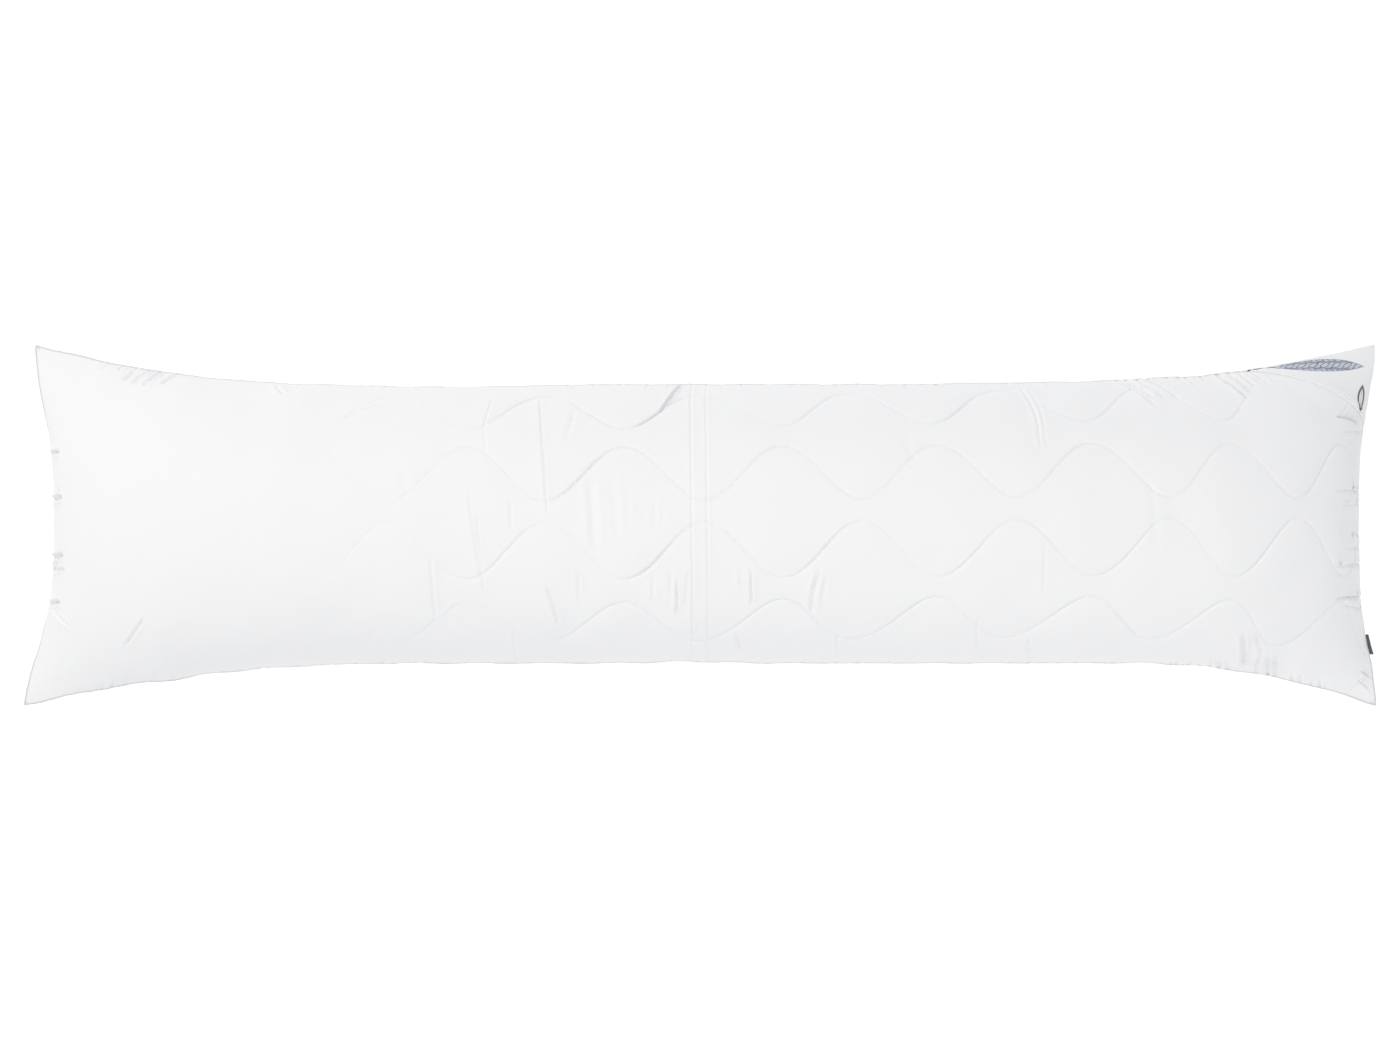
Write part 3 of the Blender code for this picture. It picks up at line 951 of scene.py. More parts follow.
@dataclass
class CasingSurface:
    """The finished surface of the casing, as a function of its flat cloth."""

    form: PillowForm
    quilting: Quilting
    settled: SettledCloth
    seam: SeamLine
    patch: PatchCut
    step: float = 0.0005
    seam_fade: float = 0.0035
    patch_fade: float = 0.125
    rest_fades: tuple[float, float] = (0.03, 0.02)
    unevenness: float = 0.00035
    uneven_waves: int = 14
    uneven_fade: float = 0.03
    shortest_wave: float = 0.045
    longest_wave: float = 0.135

    def __post_init__(self) -> None:
        """Gather the folds and draw the waves of the faint unevenness."""
        self.folds = list(PACKING_CREASES + SOFT_PUCKERS)
        for ruffle in RUFFLES:
            self.folds += ruffle.folds()
        self.waves = np.random.default_rng(7).uniform(0.0, 1.0, (self.uneven_waves, 3))

    def base(self, u: np.ndarray, v: np.ndarray, face: Face) -> np.ndarray:
        """The filled form with the give of its cloth, which fades out on the underside."""
        place = self.form.place(u, v, face)
        free = smooth_step(place[:, 2] / self.rest_fades[0])[:, None]
        return place + self.settled.shift(u, v, face) * free

    def normal(self, u: np.ndarray, v: np.ndarray, face: Face) -> np.ndarray:
        """The outward direction of the base at (u, v)."""
        near_u = np.clip(u, self.form.flat_left + self.step, self.form.flat_right - self.step)
        limit = self.form.half_width - self.step
        near_v = np.clip(v, -limit, limit)
        along = self.base(near_u + self.step, near_v, face)
        along = along - self.base(near_u - self.step, near_v, face)
        over = self.base(near_u, near_v + self.step, face)
        over = over - self.base(near_u, near_v - self.step, face)
        return unit(np.cross(along, over) * face.value)

    def uneven(self, u: np.ndarray, v: np.ndarray) -> np.ndarray:
        """A faint unevenness of the filling, as the sum of slow waves across the cloth."""
        height = np.zeros_like(u)
        for turn, stretch, start in self.waves:
            length = self.shortest_wave + (self.longest_wave - self.shortest_wave) * stretch
            angle = FULL_TURN * turn
            along = (u * np.cos(angle) + v * np.sin(angle)) / length
            height += np.sin(FULL_TURN * (along + start))
        return self.unevenness * height / 2.5

    def relief(self, u: np.ndarray, v: np.ndarray, face: Face, z: np.ndarray) -> np.ndarray:
        """How far quilting, folds and puckers lift the cloth off the base.

        Args:
            u: Flat lengths along the pillow.
            v: Flat lengths across it.
            face: The front or the back panel.
            z: Heights of the base, because the underside stays flat where it rests.

        Returns:
            The lift along the normal.
        """
        to_seam = self.form.to_nearest_seam(u, v)
        lift = -self.quilting.depth(u, v) * smooth_step(to_seam / self.quilting.fade)
        for fold in self.folds:
            if face is Face.FRONT or fold.both_faces:
                lift = lift + fold.lift(u, v)
        if face is Face.FRONT:
            lift = lift * smooth_step(-self.patch.side(self.form, u, v) / self.patch_fade)
        uneven = self.uneven(u, v) * smooth_step(to_seam / self.uneven_fade)
        lift = lift + self.seam.lift(u, v) + uneven
        if face is Face.BACK:
            lift = lift * smooth_step(z / self.rest_fades[1])
        return lift * smooth_step(to_seam / self.seam_fade)

    def at(
        self, u: np.ndarray, v: np.ndarray, face: Face, raised: np.ndarray | float = 0.0
    ) -> tuple[np.ndarray, np.ndarray]:
        """Where flat points lie on the finished casing.

        Args:
            u: Flat lengths along the pillow.
            v: Flat lengths across it.
            face: The front or the back panel.
            raised: How far off the surface the points are.

        Returns:
            One place a row and one outward direction a row.
        """
        base = self.base(u, v, face)
        normal = self.normal(u, v, face)
        lift = self.relief(u, v, face, base[:, 2]) + raised
        place = base + normal * lift[:, None] + self.seam.offset(u, v)
        place[:, 2] = np.maximum(place[:, 2], 0.0)
        return place, normal


class Signal:
    """One output of a material's nodes, with arithmetic that adds Math nodes."""

    def __init__(self, work: "NodeWork", socket: bpy.types.NodeSocket) -> None:
        """Keep the socket and the material that it belongs to."""
        self.work = work
        self.socket = socket

    def __add__(self, other: "Signal | float") -> "Signal":
        """The sum."""
        return self.work.maths("ADD", self, other)

    __radd__ = __add__

    def __sub__(self, other: "Signal | float") -> "Signal":
        """The difference."""
        return self.work.maths("SUBTRACT", self, other)

    def __rsub__(self, other: float) -> "Signal":
        """The difference from a number."""
        return self.work.maths("SUBTRACT", other, self)

    def __mul__(self, other: "Signal | float") -> "Signal":
        """The product."""
        return self.work.maths("MULTIPLY", self, other)

    __rmul__ = __mul__

    def __truediv__(self, other: "Signal | float") -> "Signal":
        """The quotient."""
        return self.work.maths("DIVIDE", self, other)

    def __neg__(self) -> "Signal":
        """The value with its sign turned."""
        return self.work.maths("MULTIPLY", self, -1.0)

    def size(self) -> "Signal":
        """The value without its sign."""
        return self.work.maths("ABSOLUTE", self)

    def wave(self) -> "Signal":
        """The cosine of the value in full turns."""
        return self.work.maths("COSINE", self * FULL_TURN)

    def bell(self, width: float) -> "Signal":
        """1 where the value is 0, fading out over a width on both sides."""
        share = self / width
        return self.work.maths("EXPONENT", -(share * share))

    def within(self, soft: float) -> "Signal":
        """0 below 0 and 1 past a soft edge above it."""
        settings = {"interpolation_type": "SMOOTHSTEP"}
        inputs = {"Value": self, "From Min": 0.0, "From Max": soft}
        return self.work.node("ShaderNodeMapRange", settings, inputs)


Value = Signal | float | tuple[float, ...]


class NodeWork:
    """The nodes of one material."""

    def __init__(self, name: str) -> None:
        """Start an empty material."""
        self.material = bpy.data.materials.new(name)
        self.material.use_nodes = True
        self.tree = self.material.node_tree
        self.tree.nodes.clear()

    def node(
        self,
        kind: str,
        settings: dict[str, Any] | None = None,
        inputs: dict[str | int, Value] | None = None,
        output: str | int = 0,
    ) -> Signal | None:
        """Add a node.

        Args:
            kind: The node's type.
            settings: Its properties, set first.
            inputs: The value or link of each socket that is used.
            output: Which output is wanted.

        Returns:
            The wanted output, or nothing from a node without outputs.
        """
        made = self.tree.nodes.new(kind)
        for name, value in (settings or {}).items():
            setattr(made, name, value)
        for name, value in (inputs or {}).items():
            if isinstance(value, Signal):
                self.tree.links.new(value.socket, made.inputs[name])
            else:
                made.inputs[name].default_value = value
        return Signal(self, made.outputs[output]) if made.outputs else None

    def maths(self, operation: str, *values: Value) -> Signal:
        """A Math node on one or more values."""
        return self.node("ShaderNodeMath", {"operation": operation}, dict(enumerate(values)))

    def mix(self, share: Value, low: Value, high: Value) -> Signal:
        """A colour between two, at a share from 0 to 1."""
        inputs = {0: share, 6: low, 7: high}
        return self.node("ShaderNodeMix", {"data_type": "RGBA"}, inputs, output=2)

    def split(self, vector: Signal) -> tuple[Signal, Signal]:
        """The first two parts of a vector."""
        first = self.node("ShaderNodeSeparateXYZ", inputs={0: vector})
        return first, Signal(self, first.socket.node.outputs[1])

    def flat_cloth(self) -> Signal:
        """The flat place of the piece's cloth, in metres, from its own UV map."""
        return self.node("ShaderNodeUVMap", {"uv_map": "cloth"})

    def attribute(self, name: str) -> Signal:
        """A number that the piece's vertices carry."""
        return self.node("ShaderNodeAttribute", {"attribute_name": name}, output="Fac")

    def noise(self, place: Signal, scale: float, detail: float = 2.0) -> Signal:
        """Soft noise from 0 to 1."""
        inputs = {"Vector": place, "Scale": scale, "Detail": detail, "Roughness": 0.55}
        return self.node("ShaderNodeTexNoise", inputs=inputs)

    def bump(self, height: Signal) -> Signal:
        """The normal of a height in metres."""
        inputs = {"Height": height, "Distance": 1.0, "Strength": 1.0}
        return self.node("ShaderNodeBump", inputs=inputs)

    def finish(self, inputs: dict[str | int, Value]) -> bpy.types.Material:
        """Close the material with its shader.

        Args:
            inputs: The values and links of the Principled shader.

        Returns:
            The material.
        """
        shader = self.node("ShaderNodeBsdfPrincipled", inputs=inputs)
        self.node("ShaderNodeOutputMaterial", inputs={"Surface": shader})
        return self.material


@dataclass(frozen=True)
class QuiltedMicrofibre:
    """White brushed microfibre: a fine weave, a soft nap, needle puckers along the sewing and a
    painted shade along the seam.
    """

    white: tuple[float, ...] = (0.884, 0.887, 0.897, 1.0)
    shade: tuple[float, ...] = (0.862, 0.866, 0.877, 1.0)
    thread_pitch: float = 0.0008
    weave_height: float = 0.000010
    nap_height: float = 0.00010
    nap_scale: float = 420.0
    ripple_height: float = 0.00055
    ripple_scale: float = 38.0
    blotch_scale: float = 9.0
    stitch_pitch: float = 0.00265
    needle_height: float = 0.00010
    needle_reach: float = 0.0024
    # The grey of the painted shade along the seam, and how far it reaches from the seam.
    painted_seam_shade: tuple[float, ...] = (0.57, 0.575, 0.595, 1.0)
    seam_shade_reach: float = 0.0018

    def material(self) -> bpy.types.Material:
        """The material of the casing."""
        work = NodeWork("quilted_microfibre")
        cloth = work.flat_cloth()
        u, v = work.split(cloth)
        weave = (u / self.thread_pitch).wave() * (v / self.thread_pitch).wave()
        nap = work.noise(cloth, self.nap_scale, 3.0)
        ripple = work.noise(cloth, self.ripple_scale, 3.0)
        along, off = work.attribute("stitch_along"), work.attribute("stitch_off")
        needle = (along / self.stitch_pitch).wave() * off.bell(self.needle_reach)
        needle = needle * work.attribute("stitch_pull")
        height = weave * self.weave_height + nap * self.nap_height
        height = height + ripple * self.ripple_height + needle * self.needle_height
        blotch = work.noise(cloth, self.blotch_scale)
        colour = work.mix(blotch * 0.8 + nap * 0.3, self.white, self.shade)
        # Painted shade: the colour turns grey within a couple of millimetres of the seam, standing
        # in for the seam's own shadow.
        seam = work.attribute("seam_off").bell(self.seam_shade_reach)
        colour = work.mix(seam, colour, self.painted_seam_shade)
        return work.finish({
            "Base Color": colour,
            "Roughness": 0.86 + nap * 0.10,
            "Sheen Weight": 0.12,
            "Sheen Roughness": 0.55,
            "Specular IOR Level": 0.25,
            "Normal": work.bump(height),
        })


@dataclass(frozen=True)
class PrintedPercale:
    """Smooth white percale with a small printed field of leaves, one dark leaf outline and a
    painted shadow: a dark line along the top seam where the patch begins.
    """

    white: tuple[float, ...] = (0.858, 0.865, 0.880, 1.0)
    field_blue: tuple[float, ...] = (0.50, 0.55, 0.69, 1.0)
    leaf_blue: tuple[float, ...] = (0.035, 0.045, 0.100, 1.0)
    pale: tuple[float, ...] = (0.94, 0.95, 0.97, 1.0)
    charcoal: tuple[float, ...] = (0.020, 0.020, 0.025, 1.0)
    thread_pitch: float = 0.0006
    weave_height: float = 0.000008
    field_middle: tuple[float, float] = (0.6710, 0.1850)
    field_turn: float = -0.19
    field_half_length: float = 0.0545
    field_half_height: float = 0.0104
    field_line: float = 0.0007
    leaf_cell: float = 0.0128
    leaf_row: float = 0.0098
    line_width: float = 0.00085
    patch_scale: float = 90.0
    sprig_middle: tuple[float, float] = (0.7185, 0.1372)
    sprig_turn: float = 1.36
    sprig_half_length: float = 0.0145
    sprig_half_width: float = 0.0052
    sprig_line: float = 0.00165
    vein_line: float = 0.0004
    vein_reach: float = 0.0008
    # Where the painted shadow along the top seam lies, and its size.
    seam_shadow_middle: tuple[float, float] = (0.608, 0.1958)
    seam_shadow_turn: float = -0.07
    seam_shadow_half_length: float = 0.022
    seam_shadow_half_height: float = 0.0016
    soft_edge: float = 0.0006
    leaf_edge: float = 0.0004

    @staticmethod
    def turned(
        work: NodeWork, middle: tuple[float, float], turn: float
    ) -> tuple[Signal, Signal]:
        """The cloth's flat place measured from a motif's middle, along it and across it.

        Args:
            work: The material's nodes.
            middle: The motif's middle on the cloth.
            turn: The motif's turn in radians.

        Returns:
            The lengths along and across the motif.
        """
        u, v = work.split(work.flat_cloth())
        over, up = u - middle[0], v - middle[1]
        along = over * math.cos(turn) + up * math.sin(turn)
        return along, up * math.cos(turn) - over * math.sin(turn)

    def lens(self, along: Signal, across: Signal, length: float, height: float) -> Signal:
        """Above 0 inside a pointed oval, as a length across its edge."""
        share = along / length
        return (1.0 - share * share) * height - across.size()

    def leaves(self, work: NodeWork, along: Signal, across: Signal) -> tuple[Signal, Signal]:
        """Rows of leaning leaves, with every other row half a leaf on.

        Args:
            work: The material's nodes.
            along: The length along the field.
            across: The length across it.

        Returns:
            The dark lines of the leaves, and their pale insides.
        """
        row = work.maths("FLOOR", across / self.leaf_row + 0.5)
        odd = work.maths("PINGPONG", row, 1.0)
        lean = 1.0 - odd * 2.0
        shifted = along / self.leaf_cell + odd * 0.5
        x = (work.maths("FRACT", shifted) - 0.5) * self.leaf_cell
        y = (work.maths("FRACT", across / self.leaf_row + 0.5) - 0.5) * self.leaf_row
        tilted_x = x * 0.80 + y * lean * 0.60
        tilted_y = y * 0.80 - x * lean * 0.60
        edge = self.lens(tilted_x, tilted_y, self.leaf_cell * 0.56, self.leaf_row * 0.25)
        outline = edge.bell(self.line_width)
        near_leaf = (edge + self.line_width).within(self.leaf_edge)
        vein = tilted_y.bell(self.line_width * 0.7) * near_leaf
        stem_and_seam_shadow = (y.size() - self.leaf_row * 0.46).bell(self.line_width * 0.8)
        lines = work.maths("MAXIMUM", outline, work.maths("MAXIMUM", vein, stem_and_seam_shadow * 0.7))
        return lines, edge.within(self.leaf_edge)

    def material(self) -> bpy.types.Material:
        """The material of the corner patch."""
        work = NodeWork("printed_percale")
        cloth = work.flat_cloth()
        u, v = work.split(cloth)
        weave = (u / self.thread_pitch).wave() * (v / self.thread_pitch).wave()
        along, across = self.turned(work, self.field_middle, self.field_turn)
        edge = self.lens(along, across, self.field_half_length, self.field_half_height)
        inside = edge.within(self.soft_edge)
        lines, insides = self.leaves(work, along, across)
        patches = work.noise(cloth, self.patch_scale)
        print_colour = work.mix(insides * (patches + 0.50), self.field_blue, self.pale)
        print_colour = work.mix(lines * (patches * 0.8 + 0.45), print_colour, self.leaf_blue)
        print_colour = work.mix(edge.bell(self.field_line), print_colour, self.leaf_blue)
        colour = work.mix(inside * 0.92, self.white, print_colour)
        # Painted shadow: a thin charcoal line just under the top seam, where the patch starts,
        # stands in for the seam's shadow.
        along, across = self.turned(work, self.seam_shadow_middle, self.seam_shadow_turn)
        stem_and_seam_shadow = self.lens(along, across, self.seam_shadow_half_length, self.seam_shadow_half_height)
        colour = work.mix(stem_and_seam_shadow.within(self.soft_edge) * 0.85, colour, self.charcoal)
        along, across = self.turned(work, self.sprig_middle, self.sprig_turn)
        leaf = self.lens(along, across, self.sprig_half_length, self.sprig_half_width)
        near_leaf = (leaf + self.vein_reach).within(self.soft_edge)
        vein = across.bell(self.vein_line) * near_leaf
        sprig = work.maths("MAXIMUM", leaf.bell(self.sprig_line), vein * 0.8)
        colour = work.mix(sprig, colour, self.charcoal)
        nap = work.noise(cloth, 500.0)
        ripple = work.noise(cloth, 60.0)
        height = weave * self.weave_height + nap * 0.00003 + ripple * 0.00035
        return work.finish({
            "Base Color": colour,
            "Roughness": 0.72 + nap * 0.12,
            "Sheen Weight": 0.08,
            "Specular IOR Level": 0.3,
            "Normal": work.bump(height),
        })


@dataclass(frozen=True)
class WovenTape:
    """Dark grey woven tape with fine ribs along it and firm edges."""

    dark: tuple[float, ...] = (0.060, 0.063, 0.070, 1.0)
    light: tuple[float, ...] = (0.125, 0.130, 0.140, 1.0)
    rib_pitch: float = 0.0007
    pick_pitch: float = 0.0005

    def material(self) -> bpy.types.Material:
        """The material of the side label."""
        work = NodeWork("woven_tape")
        cloth = work.flat_cloth()
        u, v = work.split(cloth)
        ribs = (v / self.rib_pitch).wave()
        picks = (u / self.pick_pitch + ribs * 0.25).wave()
        fuzz = work.noise(cloth, 900.0, 3.0)
        share = ribs * 0.25 + picks * 0.15 + fuzz * 0.6
        height = ribs * 0.00004 + picks * 0.00002 + fuzz * 0.00003
        return work.finish({
            "Base Color": work.mix(share, self.dark, self.light),
            "Roughness": 0.70 + fuzz * 0.2,
            "Sheen Weight": 0.25,
            "Normal": work.bump(height),
        })


@dataclass(frozen=True)
class SewingThread:
    """White polyester thread with a soft lustre."""

    white: tuple[float, ...] = (0.935, 0.937, 0.940, 1.0)
    shade: tuple[float, ...] = (0.890, 0.893, 0.900, 1.0)

    def material(self) -> bpy.types.Material:
        """The material of all the sewing."""
        work = NodeWork("sewing_thread")
        place = work.node("ShaderNodeTexCoord", output="Object")
        fibre = work.noise(place, 1600.0)
        return work.finish({
            "Base Color": work.mix(fibre, self.white, self.shade),
            "Roughness": 0.50 + fibre * 0.2,
            "Sheen Weight": 0.1,
            "Normal": work.bump(fibre * 0.00006),
        })


def finished_piece(
    name: str, mesh: bpy.types.Mesh, material: bpy.types.Material
) -> bpy.types.Object:
    """Make a mesh a piece of the pillow.

    Args:
        name: The piece's name.
        mesh: Its mesh, in place.
        material: Its material.

    Returns:
        The piece, riding on the pillow.
    """
    mesh.materials.clear()
    mesh.materials.append(material)
    piece = placed(name, mesh)
    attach(piece, BODY)
    triangles = sum(len(face.vertices) - 2 for face in mesh.polygons)
    LOG.info("%s: %d triangles", name, triangles)
    return piece


def closed_mesh(name: str, shape: bmesh.types.BMesh) -> bpy.types.Mesh:
    """A smooth-shaded mesh of a closed shape, which is freed, with its faces outwards."""
    bmesh.ops.recalc_face_normals(shape, faces=shape.faces[:])
    mesh = mesh_of(name, shape)
    mesh.shade_smooth()
    mesh.set_sharp_from_angle(angle=SHARP_ANGLE)
    return mesh


@dataclass
class Casing:
    """The filled casing: two fine panels that meet at one knife-edge seam."""

    surface: CasingSurface
    finish: QuiltedMicrofibre = QuiltedMicrofibre()
    columns: int = 420
    fine_spacing: float = 0.0024
    wide_spacing: float = 0.0039
    end_reach: float = 0.110
    shoulders: tuple[float, ...] = (0.0008, 0.0017, 0.0028, 0.0042, 0.0058, 0.0076)
    top_rows: int = 12
    band_rows: int = 10
    last_rows: int = 8
    fill: float = 0.72
    refinements: int = 3
    same_place: float = 2e-5

    def flat_columns(self) -> np.ndarray:
        """The flat lengths of the columns, closer together near the ends."""
        form = self.surface.form
        u = np.linspace(form.flat_left, form.flat_right, 4001)
        to_end = np.minimum(u - form.flat_left, form.flat_right - u)
        ends = 1.0 - smooth_step(to_end / self.end_reach)
        closeness = 1.0 / self.wide_spacing
        closeness = closeness + ends * (1.0 / self.fine_spacing - 1.0 / self.wide_spacing)
        steps = (closeness[1:] + closeness[:-1]) / 2.0 * np.diff(u)
        reached = np.concatenate([[0.0], np.cumsum(steps)])
        return np.interp(np.linspace(0.0, reached[-1], self.columns + 1), reached, u)

    def row_heights(self, u: np.ndarray) -> np.ndarray:
        """The v of each row: the sewn lines, their shoulders and the rows between them.

        Args:
            u: The flat lengths of the columns.

        Returns:
            One row of heights for each row of the grid. Each sewn line has an even number.
        """
        quilting, half_width = self.surface.quilting, self.surface.form.half_width
        rows = [np.full_like(u, half_width)]
        for index in range(quilting.count):
            line = np.maximum(quilting.line(index, u), quilting.lowest)
            above, upper = rows[-1], line + self.shoulders[-1]
            between = self.top_rows if index == 0 else self.band_rows
            shares = np.arange(1, between) / between
            shares = shares**1.25 if index == 0 else shares
            rows += [above + (upper - above) * share for share in shares]
            rows += [line + shoulder for shoulder in reversed(self.shoulders)]
            rows.append(line)
            if index < quilting.count - 1:
                rows += [line - shoulder for shoulder in self.shoulders]
        last = rows[-1]
        shares = 1.0 - (1.0 - np.arange(1, self.last_rows + 1) / self.last_rows) ** 1.15
        rows += [last + (-half_width - last) * share for share in shares]
        return np.array(rows)

    def flat_panel(self, every: int) -> bmesh.types.BMesh:
        """The flat grid of a panel, whose edge has all the points of the finest grid.

        Args:
            every: How many of the finest grid's cells one cell takes in each direction.

        Returns:
            An open grid whose corner cells are cut from the corner inwards.
        """
        columns = self.flat_columns()
        rows = self.row_heights(columns)
        flat = grid_shape((len(columns) - 1) // every, (len(rows) - 1) // every)
        for corner in [vert for vert in flat.verts if len(vert.link_edges) == 2]:
            beside = [edge.other_vert(corner) for edge in corner.link_edges]
            cell = corner.link_faces[0]
            opposite = next(v for v in cell.verts if v != corner and v not in beside)
            bmesh.ops.connect_vert_pair(flat, verts=[corner, opposite])
        if every > 1:
            rim = [edge for edge in flat.edges if edge.is_boundary]
            bmesh.ops.subdivide_edges(flat, edges=rim, cuts=every - 1)
        for vert in flat.verts:
            column = round((vert.co.x + 1.0) / 2.0 * (len(columns) - 1))
            row = round((1.0 - vert.co.y) / 2.0 * (len(rows) - 1))
            vert.co = (columns[column], rows[row, column], 0.0)
        return flat

    def refine(self, flat: bmesh.types.BMesh, face: Face) -> None:
        """Cut the edges that are too long to follow the folds on them.

        Args:
            flat: The flat panel.
            face: The front or the back panel.
        """
        folds = [fold for fold in self.surface.folds if face is Face.FRONT or fold.both_faces]
        for _ in range(self.refinements):
            inner = [edge for edge in flat.edges if not edge.is_boundary]
            start = np.array([edge.verts[0].co[:2] for edge in inner])
            end = np.array([edge.verts[1].co[:2] for edge in inner])
            chosen = np.zeros(len(inner), bool)
            for fold in folds:
                chosen |= fold.too_long(start, end)
            edges = [inner[index] for index in np.flatnonzero(chosen)]
            bmesh.ops.subdivide_edges(flat, edges=edges, cuts=1, use_grid_fill=True)

    def panel(self, face: Face) -> bpy.types.Mesh:
        """One panel in place, with its flat cloth as its UV map.

        Args:
            face: The front or the back panel.

        Returns:
            An open mesh.
        """
        shape = self.flat_panel(1 if face is Face.FRONT else 2)
        self.refine(shape, face)
        mesh = mesh_of("panel", shape)
        form = self.surface.form
        flat = vertex_places(mesh)
        u = np.clip(flat[:, 0], form.flat_left, form.flat_right)
        v = np.clip(flat[:, 1], -form.half_width, form.half_width)
        off, along = self.surface.quilting.nearest(u, v)
        values = {
            "stitch_off": np.abs(off),
            "stitch_along": along,
            "stitch_pull": self.surface.quilting.firmness(u),
            # seam_off is the distance to the nearest seam; the casing's material uses it for its
            # painted seam shade.
            "seam_off": form.to_nearest_seam(u, v),
        }
        for name, value in values.items():
            mesh.attributes.new(name, "FLOAT", "POINT").data.foreach_set("value", value)
        lay_out(mesh, self.surface.at(u, v, face)[0], u, v)
        return mesh

    def build(self) -> bpy.types.Object:
        """Sew the two panels together.

        Returns:
            The casing, which replaces its solid.
        """
        whole = joined(self.panel(face) for face in Face)
        bmesh.ops.remove_doubles(whole, verts=whole.verts[:], dist=self.same_place)
        mesh = closed_mesh("quilted_casing", whole)
        piece = finished_piece("quilted_casing", mesh, self.finish.material())
        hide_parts("casing")
        return piece


@dataclass
class Stitching:
    """Sewing thread: one grain-shaped stitch after another along a path on the cloth."""

    surface: CasingSurface
    material: bpy.types.Material
    pitch: float = 0.00265
    length: float = 0.0021
    width: float = 0.00050
    height: float = 0.00042
    raised_share: float = 0.15
    sunk_share: float = 0.60
    seam_margin: float = 0.003
    fewest_points: int = 20

    def add_stitches(
        self,
        shape: bmesh.types.BMesh,
        u: np.ndarray,
        v: np.ndarray,
        face: Face,
        raised: float = 0.0,
        sunk: np.ndarray | float = 0.0,
    ) -> None:
        """Add a stitch at each step along a flat path.

        Args:
            shape: The shape that takes the stitches.
            u: Flat lengths of the path's points along the pillow.
            v: Flat lengths of its points across it.
            face: The front or the back panel.
            raised: How far the path lies off the casing.
            sunk: How far each point's stitches have sunk into the cloth.
        """
        run = running_length(np.diff(u), np.diff(v))
        middles = np.arange(self.pitch / 2.0, run[-1], self.pitch)
        tips = []
        for shift in (-0.25 * self.length, 0.25 * self.length):
            at = middles + shift
            tips.append(self.surface.at(np.interp(at, run, u), np.interp(at, run, v), face, raised))
        (back, normal), (front, _) = tips
        rises = self.height * self.raised_share
        rises = rises - np.interp(middles, run, np.broadcast_to(sunk, run.shape))
        axis = unit(front - back)
        middle = (front + back) / 2.0
        across = unit(np.cross(normal, axis))
        up = np.cross(axis, across)
        for place, along, over, out, rise in zip(middle, axis, across, up, rises):
            matrix = Matrix.Identity(4)
            matrix.col[0][:3] = along * self.length / 2.0
            matrix.col[1][:3] = over * self.width / 2.0
            matrix.col[2][:3] = out * self.height / 2.0
            matrix.col[3][:3] = place + out * rise
            bmesh.ops.create_icosphere(shape, subdivisions=1, radius=1.0, matrix=matrix)

    def sewn_line(self, index: int, face: Face) -> bpy.types.Mesh:
        """The stitches of one quilting line.

        Args:
            index: Which line, counted from the top.
            face: The front or the back panel.

        Returns:
            The line's mesh.
        """
        form, quilting = self.surface.form, self.surface.quilting
        u, _ = quilting.line_length(index)
        v = quilting.line(index, u)
        firm = np.clip(quilting.firmness(u) * quilting.pull(index, u), 0.0, 1.0)
        sunk = self.height * self.sunk_share * (1.0 - firm)
        on_cloth = form.to_nearest_seam(u, v) > self.seam_margin
        if face is Face.FRONT:
            on_cloth &= self.surface.patch.side(form, u, v) < 0.0
        shape = bmesh.new()
        ends = np.flatnonzero(np.diff(np.concatenate([[0], on_cloth.astype(int), [0]])))
        for first, past in zip(ends[::2], ends[1::2]):
            if past - first > self.fewest_points:
                part = slice(first, past)
                self.add_stitches(shape, u[part], v[part], face, sunk=sunk[part])
        return mesh_of("sewn_line", shape)

    def build(self, face: Face) -> bpy.types.Object:
        """All the quilting stitches of a panel, joined.

        Args:
            face: The front or the back panel.

        Returns:
            The sewing of that panel.
        """
        lines = range(self.surface.quilting.count)
        name = "front_sewing" if face is Face.FRONT else "back_sewing"
        mesh = mesh_of(name, joined(self.sewn_line(index, face) for index in lines))
        mesh.shade_smooth()
        return finished_piece(name, mesh, self.material)


